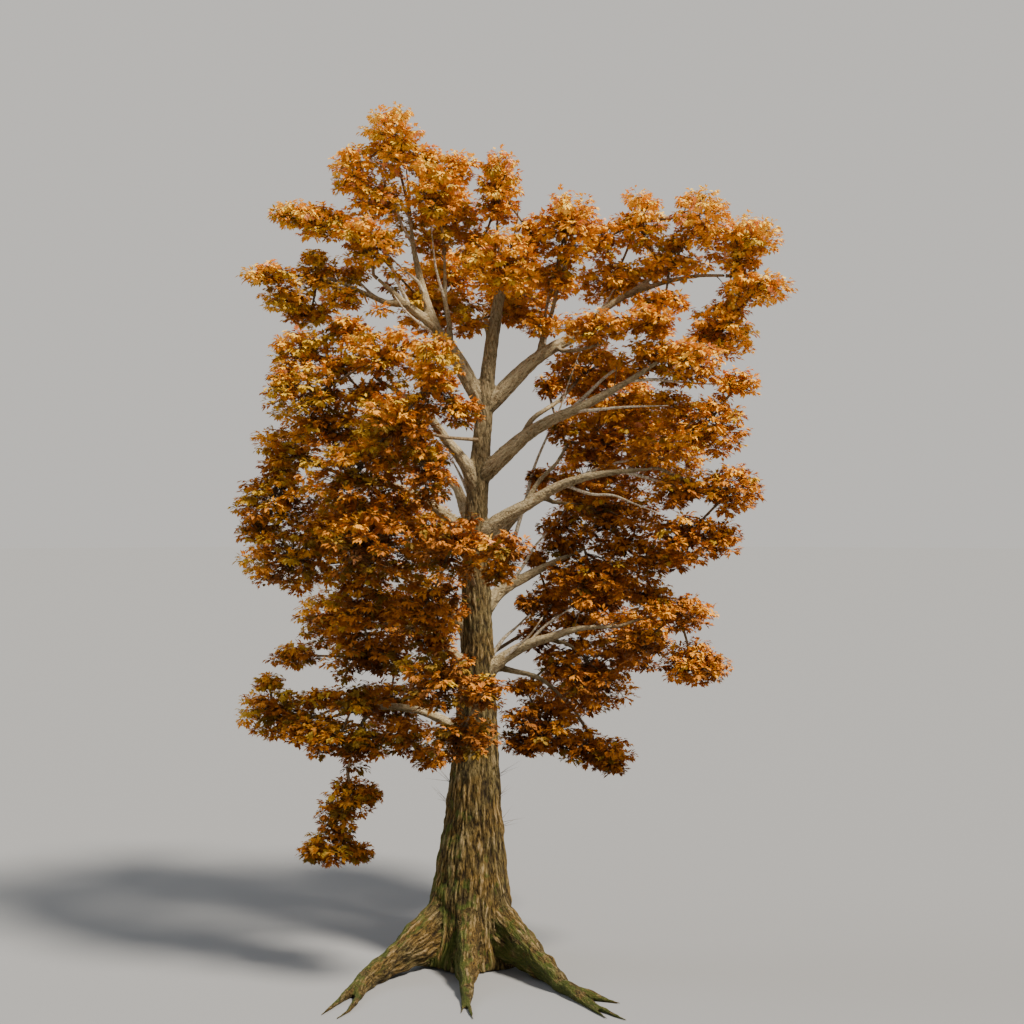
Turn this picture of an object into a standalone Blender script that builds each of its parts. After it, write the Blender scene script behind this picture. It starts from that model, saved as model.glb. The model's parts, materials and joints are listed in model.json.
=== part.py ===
"""A whole sassafras tree in autumn leaf: a flared trunk with surface roots, its boughs and masses of leaves.

Metres, +Z up. The origin is the middle of the flat cut under the trunk, on level ground. The front is -Y, and
+X is to the right of someone who looks at the front.
"""

import math
import random
from dataclasses import dataclass

import bmesh
import bpy
from mathutils import Matrix, Vector
from mathutils.bvhtree import BVHTree
from mathutils.geometry import interpolate_bezier

SEED = 3060
GAP = 0.0003  # left open between two pieces that meet
WELD = 1e-6  # points of one mesh nearer than this are one point
SMOOTH_ANGLE = 50  # degrees: a sharper edge stays crisp in the shading

# Trunk: a cone with a flare that dies away upwards, leaning to +X, bowed back a little halfway up and swept over
# a little more at the top
TRUNK_HEIGHT = 15.7
TRUNK_TOP_RADIUS = 0.12
TRUNK_TAPER = 0.0195
FLARE_RADIUS = 0.76
FLARE_HEIGHT = 3.7
BUTTRESS = 0.16
BUTTRESS_HEIGHT = 1.1
LEAN = 0.03
SWEEP = 0.028
SWEEP_FROM = 12.5
BOW = 0.15
BOW_HEIGHT = 10.0
BOW_LENGTH = 2.3
WANDER = 0.07
WANDER_RATE = 0.4
TRUNK_RINGS = 17
TRUNK_ROUNDNESS = 4
RING_CROWDING = 1.35  # more than 1 sets the rings closer together near the ground

# Surface roots: half sunk in level ground, each with a shoulder where it leaves the trunk
ROOT_POINTS = 7
ROOT_TAPER = 1.3
ROOT_SUNK = 0.9
ROOT_SHOULDER = 0.5
ROOT_TIP_RADIUS = 0.035
GROUND_BLOCK = 14.0

# Boughs
BOUGH_SPACING = 0.75
BOUGH_TAPER = 0.9
BOUGH_FEWEST_POINTS = 5
BOUGH_COLLAR = 0.25  # extra radius at the foot, as a share of the foot's own radius
COLLAR_REACH = 0.25  # share of the bough's length that the collar takes to die away
COLLAR_LIMIT = 0.8  # share of the trunk's radius
HANDLE = 0.38  # how far the bend at either end of a bough reaches, as a share of its span
KINK = 0.035
BRANCH_TIP_RADIUS = 0.045

# Masses of leaves
CLUMP_DEPTH = 0.55  # half a clump's depth, over the sum of half its width and half its height
CELL_MARGIN = 0.10  # keeps neighbouring masses apart, in square metres of power distance
STEM_LEAD = 0.12  # how far a stem follows its bough's own direction
STEM_CLEAR = 0.06
TRUNK_CLEAR = 0.12
TWIG_RADIUS = 0.045
SIDE_TWIG_RADIUS = 0.04
TWIG_TIP_RADIUS = 0.036
TWIG_ELBOW = 0.55  # where a main twig bends, as a share of its span
TWIG_BEND = 0.05
BEND_STEP = 0.01  # added to the bend with each new try
TWIG_REACH = 0.36  # how far a side twig goes towards its clump's outline
TWIGS_PER_METRE = 0.76  # side twigs for each metre of a clump's reach
FIRST_TWIG = 0.08  # where the side twigs leave, as shares of the way back along the main twig
NEXT_TWIG = 0.12
LEAF_WIDTH = 0.8  # share of the leaf's length
LEAF_THICKNESS = 0.03
LEAF_SIZES = (0.95, 1.6)  # each leaf stands for a spray of real ones
LEAF_SUNK = 0.03
LEAF_PLACES = (1.0, 0.75, 0.5)  # along a twig: one at its end and two on its sides
SIDE_LEAF_TILTS = (62, 86)  # degrees away from its twig
END_LEAF_TILT = 0.5  # degrees further with each new try
LEAF_FACING = ((-1, 1), (-1, 1), (0.1, 0.8))  # ranges of the way a leaf's face looks, mostly upwards
CLEARANCE = 0.03
LIMB_SIDES = 6
LIMB_SWELL = 1 / math.cos(math.pi / LIMB_SIDES)  # a ring of flats this much wider holds its circle
TRIES = 40
GOLDEN_ANGLE = math.pi * (3 - math.sqrt(5))


@dataclass(frozen=True)
class Root:
    """One surface root: the way it leaves the trunk, in degrees from +X, and where its tip lies."""

    leave: float
    tip: tuple[float, float]
    arrive: float
    radius: float
    start: float = 0.0  # where it begins on the root before it, as a share of that root's length


@dataclass(frozen=True)
class Bough:
    """One tapering limb: what carries it, where its tip is, and its pitch in degrees at either end."""

    parent: str
    at: float  # height on the trunk in metres, or share of the parent bough's length
    tip: tuple[float, float, float]
    leave: float
    arrive: float
    radius: float


@dataclass(frozen=True)
class Clump:
    """One rounded clump inside a mass of leaves."""

    middle: tuple[float, float, float]
    half_width: float
    half_height: float

    @property
    def centre(self):
        return Vector(self.middle)

    @property
    def half_sizes(self):
        depth = CLUMP_DEPTH * (self.half_width + self.half_height)
        return Vector((self.half_width, depth, self.half_height))

    @property
    def reach(self):
        """The radius of a ball of the same volume."""
        sizes = self.half_sizes
        return (sizes.x * sizes.y * sizes.z) ** (1 / 3)


# Each chain is a root and the side roots that leave it
ROOT_CHAINS = {
    "left": (Root(208, (-2.95, -3.9), 250, 0.50), Root(228, (-2.6, -4.1), 236, 0.20, start=0.42)),
    "middle": (Root(270, (0.2, -4.15), 280, 0.40), Root(264, (-0.06, -3.8), 262, 0.08, start=0.55)),
    "right": (
        Root(330, (2.95, -4.1), 300, 0.50),
        Root(318, (3.3, -3.2), 335, 0.14, start=0.62),
        Root(300, (3.35, -4.2), 312, 0.11, start=0.7),
    ),
    "back_left": (Root(115, (-0.75, 3.3), 100, 0.38),),
    "back_right": (Root(60, (0.85, 2.9), 75, 0.34),),
}

BOUGHS = {
    "bough_left_top": Bough("trunk", 12.8, (-2.1, -0.5, 15.8), 68, 40, 0.22),
    "branch_peak": Bough("bough_left_top", 0.55, (-1.4, 0.2, 17.4), 75, 88, 0.12),
    "branch_top_centre": Bough("bough_left_top", 0.42, (-0.6, 0.3, 16.5), 82, 88, 0.08),
    "branch_far_left": Bough("bough_left_top", 0.78, (-3.1, -0.2, 15.8), 2, 20, 0.085),
    "bough_right_top": Bough("trunk", 12.75, (4.5, 0.3, 16.1), 49, 37, 0.20),
    "branch_right_tip": Bough("bough_right_top", 0.82, (6.0, 0.0, 15.95), 20, -5, 0.075),
    "branch_right_crest": Bough("bough_right_top", 0.34, (2.2, -0.4, 16.0), 82, 70, 0.075),
    "branch_right_shelf": Bough("bough_right_top", 0.42, (2.9, -1.0, 14.2), -30, 5, 0.06),
    "bough_right_upper": Bough("trunk", 11.15, (4.5, -1.2, 13.95), 52, 36, 0.20),
    "branch_upper_back": Bough("bough_right_upper", 0.27, (2.5, 1.0, 13.5), 60, 48, 0.08),
    "bough_right_middle": Bough("trunk", 9.65, (4.2, -1.0, 11.4), 46, 2, 0.19),
    "branch_middle_rising": Bough("bough_right_middle", 0.33, (2.3, 0.8, 12.0), 60, 58, 0.075),
    "branch_middle_inner": Bough("bough_right_middle", 0.42, (2.7, 0.4, 10.6), -20, 0, 0.065),
    "bough_right_lower": Bough("trunk", 7.9, (2.6, 0.4, 9.5), 57, 25, 0.19),
    "bough_right_low": Bough("trunk", 6.2, (3.3, -0.8, 7.8), 56, 0, 0.18),
    "branch_low_inner": Bough("bough_right_low", 0.6, (2.6, 0.1, 7.1), -20, -40, 0.07),
    "bough_right_lowest": Bough("bough_right_low", 0.2, (2.4, 0.5, 5.8), -8, -50, 0.08),
    "bough_left_upper": Bough("trunk", 10.8, (-2.0, -1.2, 13.4), 64, 25, 0.17),
    "bough_left_middle": Bough("trunk", 9.6, (-2.9, -0.6, 11.3), 52, 10, 0.16),
    "bough_left_lower": Bough("trunk", 7.1, (-2.4, -1.0, 9.3), 66, 15, 0.17),
    "bough_left_low": Bough("trunk", 6.2, (-1.7, -1.0, 7.85), 64, 0, 0.15),
    "bough_left_lowest": Bough("trunk", 5.1, (-3.1, -0.9, 5.75), 38, -18, 0.14),
    "branch_hanging": Bough("bough_left_lowest", 0.72, (-2.7, -1.1, 4.6), -25, -80, 0.06),
    "bough_back_top": Bough("trunk", 14.1, (0.3, 2.0, 15.5), 45, 30, 0.13),
    "bough_back_right": Bough("trunk", 9.0, (2.0, 2.3, 10.95), 52, 22, 0.16),
    "bough_back_left": Bough("trunk", 9.95, (-1.3, 2.3, 11.9), 50, 20, 0.16),
}

# What carries each mass, a bough or a height on the trunk, and the clumps that it fills
MASSES = {
    "leaves_leader": (
        TRUNK_HEIGHT,
        (
            Clump((0.7, 0.0, 18.0), 0.56, 0.98),
            Clump((0.2, 0.8, 16.7), 0.60, 0.60),
            Clump((0.8, -0.9, 16.1), 0.96, 0.80),
        ),
    ),
    "leaves_left_top": (
        "bough_left_top",
        (Clump((-2.3, -0.8, 16.6), 0.87, 0.64), Clump((-3.5, 0.0, 17.2), 0.94, 0.47)),
    ),
    "leaves_peak": (
        "branch_peak",
        (Clump((-1.8, 0.0, 19.1), 0.77, 0.90), Clump((-2.7, -0.2, 18.3), 0.56, 0.70)),
    ),
    "leaves_top_centre": (
        "branch_top_centre",
        (Clump((-0.8, -0.6, 17.8), 0.72, 0.83), Clump((-0.4, 1.0, 17.6), 0.87, 0.72)),
    ),
    "leaves_far_left": (
        "branch_far_left",
        (
            Clump((-3.6, 0.3, 16.0), 0.57, 0.50),
            Clump((-4.6, -0.2, 15.9), 0.77, 0.38),
            Clump((-3.8, 0.4, 15.1), 0.85, 0.35),
        ),
    ),
    "leaves_right_top": (
        "bough_right_top",
        (
            Clump((4.0, 0.5, 17.3), 0.71, 0.81),
            Clump((5.4, -0.2, 17.2), 0.74, 0.77),
            Clump((3.4, 0.8, 15.9), 0.95, 0.57),
        ),
    ),
    "leaves_right_tip": (
        "branch_right_tip",
        (
            Clump((6.5, 0.0, 16.8), 0.84, 0.66),
            Clump((6.7, -0.3, 15.6), 0.84, 0.45),
            Clump((5.8, 0.3, 14.6), 0.99, 0.80),
        ),
    ),
    "leaves_right_crest": ("branch_right_crest", (Clump((2.3, -0.5, 17.0), 0.76, 0.92),)),
    "leaves_right_shelf": (
        "branch_right_shelf",
        (Clump((2.8, -1.2, 14.6), 0.90, 0.42), Clump((4.1, -1.1, 14.7), 0.80, 0.42)),
    ),
    "leaves_right_upper": (
        "bough_right_upper",
        (
            Clump((5.0, -1.2, 13.8), 0.79, 0.63),
            Clump((6.1, -1.0, 13.3), 0.59, 0.42),
            Clump((5.3, -0.8, 12.3), 1.19, 0.78),
        ),
    ),
    "leaves_upper_back": ("branch_upper_back", (Clump((2.9, 1.5, 13.9), 1.03, 0.73),)),
    "leaves_right_middle": (
        "bough_right_middle",
        (Clump((6.0, -0.8, 10.9), 0.78, 0.64), Clump((5.0, -0.6, 9.8), 1.01, 0.69)),
    ),
    "leaves_middle_rising": ("branch_middle_rising", (Clump((3.3, 1.2, 12.2), 1.21, 0.78),)),
    "leaves_middle_inner": ("branch_middle_inner", (Clump((3.3, 0.6, 10.3), 1.35, 0.80),)),
    "leaves_right_lower": ("bough_right_lower", (Clump((3.1, 0.4, 8.8), 1.47, 0.71),)),
    "leaves_right_low": (
        "bough_right_low",
        (Clump((4.8, -0.8, 8.1), 0.91, 0.50), Clump((5.1, -0.8, 6.9), 0.75, 0.64)),
    ),
    "leaves_low_inner": ("branch_low_inner", (Clump((3.0, 0.2, 6.6), 1.06, 0.95),)),
    "leaves_right_lowest": (
        "bough_right_lowest",
        (Clump((3.2, 0.2, 4.7), 0.71, 0.47), Clump((1.7, 0.4, 5.4), 1.00, 0.76)),
    ),
    "leaves_left_upper": (
        "bough_left_upper",
        (
            Clump((-1.8, -1.5, 14.0), 1.07, 0.63),
            Clump((-3.5, -1.0, 13.0), 1.14, 0.82),
            Clump((-3.8, -0.5, 14.2), 0.83, 0.55),
        ),
    ),
    "leaves_left_middle": (
        "bough_left_middle",
        (Clump((-4.3, 0.0, 11.9), 0.82, 0.66), Clump((-4.4, -0.5, 10.6), 1.04, 0.74)),
    ),
    "leaves_left_lower": (
        "bough_left_lower",
        (Clump((-4.1, -0.8, 9.3), 1.14, 0.80), Clump((-2.0, -2.2, 9.7), 1.31, 0.92)),
    ),
    "leaves_left_low": (
        "bough_left_low",
        (
            Clump((-2.4, -1.5, 8.3), 0.89, 0.56),
            Clump((-2.2, -1.0, 7.1), 1.14, 0.66),
            Clump((-4.1, -0.4, 7.1), 0.69, 0.36),
        ),
    ),
    "leaves_left_lowest": (
        "bough_left_lowest",
        (
            Clump((-4.5, -0.6, 5.8), 0.83, 0.69),
            Clump((-2.9, -1.3, 5.3), 0.90, 0.55),
            Clump((-1.4, -1.6, 5.4), 0.62, 0.49),
        ),
    ),
    "leaves_hanging": (
        "branch_hanging",
        (Clump((-2.7, -1.0, 3.9), 0.68, 0.55), Clump((-3.0, -1.0, 2.8), 0.82, 0.42)),
    ),
    "leaves_front_upper": (
        12.1,
        (
            Clump((-1.5, -2.5, 12.3), 0.97, 0.87),
            Clump((-0.7, -2.6, 13.4), 0.64, 0.99),
            Clump((-0.1, -2.4, 12.6), 0.52, 0.43),
            Clump((-0.8, -2.4, 11.2), 0.61, 0.80),
            Clump((-2.5, -2.0, 11.1), 1.21, 0.88),
        ),
    ),
    "leaves_front_middle": (
        8.6,
        (
            Clump((-0.3, -3.0, 9.7), 0.81, 0.81),
            Clump((0.8, -3.4, 9.6), 0.67, 0.46),
            Clump((-0.9, -2.0, 8.4), 0.95, 0.77),
        ),
    ),
    "leaves_front_low": (
        5.9,
        (
            Clump((-0.6, -2.5, 6.8), 0.97, 0.80),
            Clump((0.4, -3.2, 6.6), 0.59, 0.42),
            Clump((-0.1, -2.8, 5.6), 0.86, 0.54),
        ),
    ),
    "leaves_back_top": (
        "bough_back_top",
        (
            Clump((1.2, 3.2, 16.1), 1.03, 0.87),
            Clump((-0.8, 3.0, 16.4), 1.02, 0.87),
            Clump((-0.9, 1.3, 15.3), 1.00, 0.65),
        ),
    ),
    "leaves_back_right": (
        "bough_back_right",
        (
            Clump((3.3, 3.8, 11.2), 1.25, 1.04),
            Clump((3.5, 3.6, 13.3), 1.30, 1.09),
            Clump((5.0, 3.0, 12.0), 1.07, 1.02),
        ),
    ),
    "leaves_back_left": (
        "bough_back_left",
        (
            Clump((-2.2, 3.6, 12.3), 1.25, 1.09),
            Clump((-1.1, 3.8, 9.7), 0.78, 0.94),
            Clump((-3.2, 3.4, 10.0), 1.24, 1.03),
        ),
    ),
    "leaves_back_low_right": (
        6.9,
        (
            Clump((3.0, 3.2, 8.2), 1.23, 0.92),
            Clump((4.2, 2.6, 7.2), 0.91, 0.86),
            Clump((2.5, 2.8, 5.9), 1.02, 0.76),
        ),
    ),
    "leaves_back_low_left": (
        6.3,
        (
            Clump((-1.9, 3.0, 7.7), 1.17, 0.92),
            Clump((-3.6, 2.4, 7.7), 0.90, 0.75),
            Clump((-2.1, 2.6, 5.5), 0.96, 0.71),
        ),
    ),
}

BARK_COLOUR = (0.30, 0.25, 0.20)
BARK_ROUGHNESS = 0.9
LEAF_ROUGHNESS = 0.6
LEAF_COLOURS = {
    "amber": (0.62, 0.24, 0.05),
    "gold": (0.60, 0.38, 0.07),
    "russet": (0.42, 0.11, 0.04),
    "olive": (0.34, 0.33, 0.07),
}


def clear_scene():
    for item in list(bpy.data.objects):
        bpy.data.objects.remove(item, do_unlink=True)


def new_collection(name):
    made = bpy.data.collections.new(name)
    bpy.context.scene.collection.children.link(made)
    return made


def new_material(name, colour, roughness):
    made = bpy.data.materials.new(name)
    made.use_nodes = True
    shader = made.node_tree.nodes["Principled BSDF"]
    shader.inputs["Base Color"].default_value = (*colour, 1.0)
    shader.inputs["Roughness"].default_value = roughness
    shader.inputs["Metallic"].default_value = 0.0
    return made


def new_object(name, mesh, collection, material=None):
    made = bpy.data.objects.new(name, mesh)
    collection.objects.link(made)
    if material:
        made.data.materials.append(material)
    return made


def heading(azimuth, pitch):
    """The unit vector of an azimuth from +X and a pitch above level, both in degrees."""
    azimuth = math.radians(azimuth)
    pitch = math.radians(pitch)
    flat = math.cos(pitch)
    return Vector((flat * math.cos(azimuth), flat * math.sin(azimuth), math.sin(pitch)))


def evaluated_mesh(item):
    """A new mesh of the object with its modifiers applied."""
    graph = bpy.context.evaluated_depsgraph_get()
    return bpy.data.meshes.new_from_object(item.evaluated_get(graph), depsgraph=graph)


def apply_modifiers(item):
    """Bakes the object's modifiers into its own mesh."""
    mesh = evaluated_mesh(item)
    item.modifiers.clear()
    item.data = mesh


def tube(name, points, radii, collection, resolution=2):
    """A tapering tube along the points: a bevelled curve with filled caps, made a mesh and welded."""
    curve = bpy.data.curves.new(name, "CURVE")
    curve.dimensions = "3D"
    curve.bevel_depth = 1.0
    curve.bevel_resolution = resolution
    curve.use_fill_caps = True
    spline = curve.splines.new("POLY")
    spline.points.add(len(points) - 1)
    for knot, point, radius in zip(spline.points, points, radii):
        knot.co = (*point, 1.0)
        knot.radius = radius
    guide = new_object(name + "_guide", curve, collection)
    mesh = evaluated_mesh(guide)
    bpy.data.objects.remove(guide, do_unlink=True)
    bpy.data.curves.remove(curve)
    shell = bmesh.new()
    shell.from_mesh(mesh)
    bmesh.ops.remove_doubles(shell, verts=shell.verts, dist=10 * WELD)
    bmesh.ops.recalc_face_normals(shell, faces=shell.faces)
    # The walls are a little twisted, so they are split here for a cutter's walls to match them
    bmesh.ops.triangulate(shell, faces=[face for face in shell.faces if len(face.verts) == 4])
    shell.to_mesh(mesh)
    shell.free()
    return new_object(name, mesh, collection)


def shade_round(item):
    item.data.shade_smooth()
    item.data.set_sharp_from_angle(angle=math.radians(SMOOTH_ANGLE))


def trunk_centre(height):
    """The middle of the trunk at a height."""
    sweep = SWEEP * max(0.0, height - SWEEP_FROM) ** 2
    bow = BOW * math.exp(-(((height - BOW_HEIGHT) / BOW_LENGTH) ** 2))
    return Vector((LEAN * height + sweep - bow, WANDER * math.sin(WANDER_RATE * height), height))


def trunk_radius(height):
    cone = TRUNK_TOP_RADIUS + TRUNK_TAPER * (TRUNK_HEIGHT - height)
    return cone + FLARE_RADIUS * math.exp(-height / FLARE_HEIGHT)


def raise_buttresses(mesh):
    """Swells the foot of the trunk above each root and leaves hollows between them."""
    directions = [math.radians(chain[0].leave) for chain in ROOT_CHAINS.values()]
    for vertex in mesh.vertices:
        middle = trunk_centre(vertex.co.z)
        offset = vertex.co - middle
        offset.z = 0.0
        azimuth = math.atan2(offset.y, offset.x)
        nearest = max(math.cos(azimuth - direction) for direction in directions)
        swell = BUTTRESS * (2 * max(nearest, 0.0) ** 4 - 1) * math.exp(-vertex.co.z / BUTTRESS_HEIGHT)
        if offset.length > 0:
            vertex.co += offset.normalized() * swell


def trunk_points():
    """The middles of the trunk's rings, from the ground up."""
    shares = [(step / (TRUNK_RINGS - 1)) ** RING_CROWDING for step in range(TRUNK_RINGS)]
    return [trunk_centre(TRUNK_HEIGHT * share) for share in shares]


def trunk_tube(collection):
    """The trunk's own tapering column, from the ground to its top, with its buttresses."""
    points = trunk_points()
    # The two lowest points stand one above the other, so that the foot's cut is level
    points[1].xy = points[0].xy
    radii = [trunk_radius(point.z) for point in points]
    item = tube("trunk", points, radii, collection, TRUNK_ROUNDNESS)
    raise_buttresses(item.data)
    return item


def root_path(root, begin):
    """Points along a root over the ground, from begin to its tip, with the radius at each."""
    tip = Vector((*root.tip, 0.0))
    handle = HANDLE * (tip - begin).length
    near_bend = begin + heading(root.leave, 0) * handle
    far_bend = tip - heading(root.arrive, 0) * handle
    plan = interpolate_bezier(begin, near_bend, far_bend, tip, ROOT_POINTS)
    radii = []
    for step, point in enumerate(plan):
        left = 1 - step / (ROOT_POINTS - 1)
        radius = root.radius * left**ROOT_TAPER + ROOT_TIP_RADIUS
        shoulder = ROOT_SHOULDER * left**4 if root.start == 0 else 0.0
        point.z = ROOT_SUNK * radius + shoulder
        radii.append(radius)
    return plan, radii


def build_trunk(collection, helpers, bark):
    """The trunk with its surface roots fused on and its underside cut flat at ground level."""
    trunk = trunk_tube(collection)
    roots = new_collection("roots")
    for name, chain in ROOT_CHAINS.items():
        main_path = []
        for number, root in enumerate(chain):
            begin = Vector((0.0, 0.0, 0.0))
            if number:
                begin = main_path[round(root.start * (ROOT_POINTS - 1))].copy()
                begin.z = 0.0
            path, radii = root_path(root, begin)
            main_path = main_path or path
            tube(f"root_{name}_{number}", path, radii, roots, resolution=1)
    join_with_collection(trunk, roots)
    bpy.ops.mesh.primitive_cube_add(size=GROUND_BLOCK, location=(0.0, 0.0, -GROUND_BLOCK / 2))
    ground = as_cutter(bpy.context.object, helpers, "ground_block")
    cut(trunk, ground)
    apply_modifiers(trunk)
    bpy.data.objects.remove(ground, do_unlink=True)
    trunk.data.materials.append(bark)
    shade_round(trunk)
    return trunk


def is_closed(mesh):
    shell = bmesh.new()
    shell.from_mesh(mesh)
    closed = all(edge.is_manifold for edge in shell.edges)
    shell.free()
    return closed


def join_with_collection(item, collection):
    """Unites the object with every object of the collection, and removes those."""
    whole = item.data
    for solver in ("EXACT", "MANIFOLD"):
        item.data = whole.copy()
        union = item.modifiers.new("join", "BOOLEAN")
        union.operation = "UNION"
        union.solver = solver
        union.operand_type = "COLLECTION"
        union.collection = collection
        apply_modifiers(item)
        keep_main_body(item.data)
        if is_closed(item.data):
            break
    for piece in list(collection.objects):
        bpy.data.objects.remove(piece, do_unlink=True)
    bpy.data.collections.remove(collection)


def as_cutter(item, helpers, name):
    """Makes the object a hidden helper that others are cut by."""
    for home in list(item.users_collection):
        home.objects.unlink(item)
    helpers.objects.link(item)
    item.name = name
    item.hide_render = True
    item.display_type = "WIRE"
    return item


def cut(item, cutter):
    difference = item.modifiers.new("clear_of_" + cutter.name, "BOOLEAN")
    difference.operation = "DIFFERENCE"
    difference.object = cutter


def swollen_copy(item, helpers, name):
    """A helper a gap larger than the object all round, for cutting what meets it."""
    shell = bmesh.new()
    shell.from_mesh(item.data)
    shell.normal_update()
    moves = [(vertex, vertex.normal * vertex.calc_shell_factor() * GAP) for vertex in shell.verts]
    for vertex, move in moves:
        vertex.co += move
    mesh = bpy.data.meshes.new(name)
    shell.to_mesh(mesh)
    shell.free()
    return as_cutter(new_object(name, mesh, helpers), helpers, name)


def point_along(path, share):
    """The point at a share of the path's length."""
    spans = [(b - a).length for a, b in zip(path, path[1:])]
    left = share * sum(spans)
    for start, end, span in zip(path, path[1:], spans):
        if left <= span:
            return start.lerp(end, left / span)
        left -= span
    return path[-1].copy()


def bough_path(bough, paths, rng):
    """A bough's points, from the middle of what carries it to its tip, a little crooked on the way."""
    if bough.parent == "trunk":
        foot = trunk_centre(bough.at)
    else:
        foot = point_along(paths[bough.parent], bough.at)
    tip = Vector(bough.tip)
    span = (tip - foot).length
    azimuth = math.degrees(math.atan2(tip.y - foot.y, tip.x - foot.x))
    count = max(BOUGH_FEWEST_POINTS, round(span / BOUGH_SPACING) + 1)
    points = interpolate_bezier(
        foot,
        foot + heading(azimuth, bough.leave) * HANDLE * span,
        tip - heading(azimuth, bough.arrive) * HANDLE * span,
        tip,
        count,
    )
    for point in points[1:-2]:
        point += Vector([rng.uniform(-KINK, KINK) for _ in range(3)]) * math.sqrt(span)
    return points


def bough_radii(bough, points):
    """Radii that taper from a collar at the foot, where it is no wider than the trunk, to the tip."""
    radii = []
    for step in range(len(points)):
        along = step / (len(points) - 1)
        radius = BRANCH_TIP_RADIUS + (bough.radius - BRANCH_TIP_RADIUS) * (1 - along) ** BOUGH_TAPER
        collar = BOUGH_COLLAR * bough.radius * max(0.0, 1 - along / COLLAR_REACH)
        radii.append(radius + collar)
    if bough.parent == "trunk":
        radii[0] = min(radii[0], COLLAR_LIMIT * trunk_radius(bough.at))
    return radii


def build_boughs(collection, helpers, trunk, bark):
    """Every bough and branch, cut clear of what carries it. Returns their paths and radii."""
    rng = random.Random(SEED)
    carriers = {bough.parent for bough in BOUGHS.values()}
    cutters = {"trunk": swollen_copy(trunk, helpers, "trunk_swollen")}
    paths = {}
    radii = {}
    for name, bough in BOUGHS.items():
        paths[name] = bough_path(bough, paths, rng)
        radii[name] = bough_radii(bough, paths[name])
        item = tube(name, paths[name], radii[name], collection, 2 if bough.parent == "trunk" else 1)
        if name in carriers:
            cutters[name] = swollen_copy(item, helpers, name + "_swollen")
        cut(item, cutters[bough.parent])
        apply_modifiers(item)
        keep_main_body(item.data)
        item.data.materials.append(bark)
        shade_round(item)
    return paths, radii, cutters["trunk"]


def ring_frame(place, direction, radius):
    """The matrix that puts a unit ring across a direction at a place."""
    turn = direction.to_track_quat("Z", "Y").to_matrix().to_4x4()
    return Matrix.Translation(place) @ turn @ Matrix.Scale(radius, 4)


def add_twig(shell, points, radii):
    """Adds a three-sided tapering twig along the points to a bmesh."""
    headings = [(b - a).normalized() for a, b in zip(points, points[1:])]
    headings.append(headings[-1])
    frame = ring_frame(points[0], headings[0], radii[0])
    ring = bmesh.ops.create_circle(shell, cap_ends=True, segments=3, radius=1.0, matrix=frame)
    face = ring["verts"][0].link_faces[0]
    for number, (point, direction, radius) in enumerate(zip(points[1:], headings[1:], radii[1:])):
        grown = bmesh.ops.extrude_face_region(shell, geom=[face])["geom"]
        if number:
            bmesh.ops.delete(shell, geom=[face], context="FACES_ONLY")
        face = next(part for part in grown if isinstance(part, bmesh.types.BMFace))
        following = ring_frame(point, direction, radius)
        bmesh.ops.transform(shell, matrix=following @ frame.inverted(), verts=face.verts)
        frame = following


def leaf_frame(root, direction, face_way, length):
    """The matrix that turns a ball into a flat leaf from its root along a direction."""
    across = face_way.cross(direction).normalized()
    face = direction.cross(across)
    turn = Matrix((direction, across, face)).transposed().to_4x4()
    sizes = Matrix.Diagonal((length / 2, length * LEAF_WIDTH / 2, length * LEAF_THICKNESS / 2, 1.0))
    return Matrix.Translation(root + direction * length / 2) @ turn @ sizes


def add_leaf(shell, frame):
    """Adds a leaf of eight faces to a bmesh."""
    bmesh.ops.create_uvsphere(shell, u_segments=4, v_segments=2, radius=1.0, matrix=frame)


def piece_object(name, collection, adder, *values):
    """An object made by one of the adders, with its faces turned outwards."""
    shell = bmesh.new()
    adder(shell, *values)
    bmesh.ops.recalc_face_normals(shell, faces=shell.faces)
    mesh = bpy.data.meshes.new(name)
    shell.to_mesh(mesh)
    shell.free()
    return new_object(name, mesh, collection)


def touches(tree, adder, *values):
    """Whether the piece that the adder makes crosses anything in the tree."""
    shell = bmesh.new()
    adder(shell, *values)
    found = bool(BVHTree.FromBMesh(shell).overlap(tree))
    shell.free()
    return found


def even_directions(count, rng):
    """Directions spread evenly over a ball, started at a random turn."""
    start = rng.uniform(0, 2 * math.pi)
    for number in range(count):
        height = 1 - (2 * number + 1) / count
        flat = math.sqrt(1 - height * height)
        turn = start + number * GOLDEN_ANGLE
        yield Vector((flat * math.cos(turn), flat * math.sin(turn), height))


def power(place, clump):
    return (place - clump.centre).length_squared - clump.reach**2


def in_cell(place, clump, others):
    """Whether a place is nearer to its clump than to the clumps of every other mass."""
    own = power(place, clump) + CELL_MARGIN
    return all(own < power(place, other) for other in others)


def bent_twig(start, end, lead, bend, rng):
    """Points of a twig that sets out along lead and then curves to its end."""
    span = (end - start).length
    elbow = start.lerp(end, TWIG_ELBOW) + Vector([rng.uniform(-bend, bend) for _ in range(3)]) * span
    if lead is None:
        return [start, elbow, end]
    return [start, start + lead * min(STEM_LEAD, span / 4), elbow, end]


def stem_foot(carrier, first_clump, paths):
    """Where a mass's stem starts, the way it leaves, its radius, and where it must be clear from."""
    if carrier in paths:
        below, top = paths[carrier][-2:]
        radius = BRANCH_TIP_RADIUS
    elif carrier == TRUNK_HEIGHT:
        below, top = trunk_points()[-2:]
        radius = 2 * BRANCH_TIP_RADIUS
    else:
        foot = trunk_centre(carrier)
        away = (first_clump.centre - foot).normalized()
        return foot, None, 2 * BRANCH_TIP_RADIUS, foot + away * (trunk_radius(carrier) + TRUNK_CLEAR)
    lead = (top - below).normalized()
    foot = top + lead * GAP
    return foot, lead, radius, foot + lead * STEM_CLEAR


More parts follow.
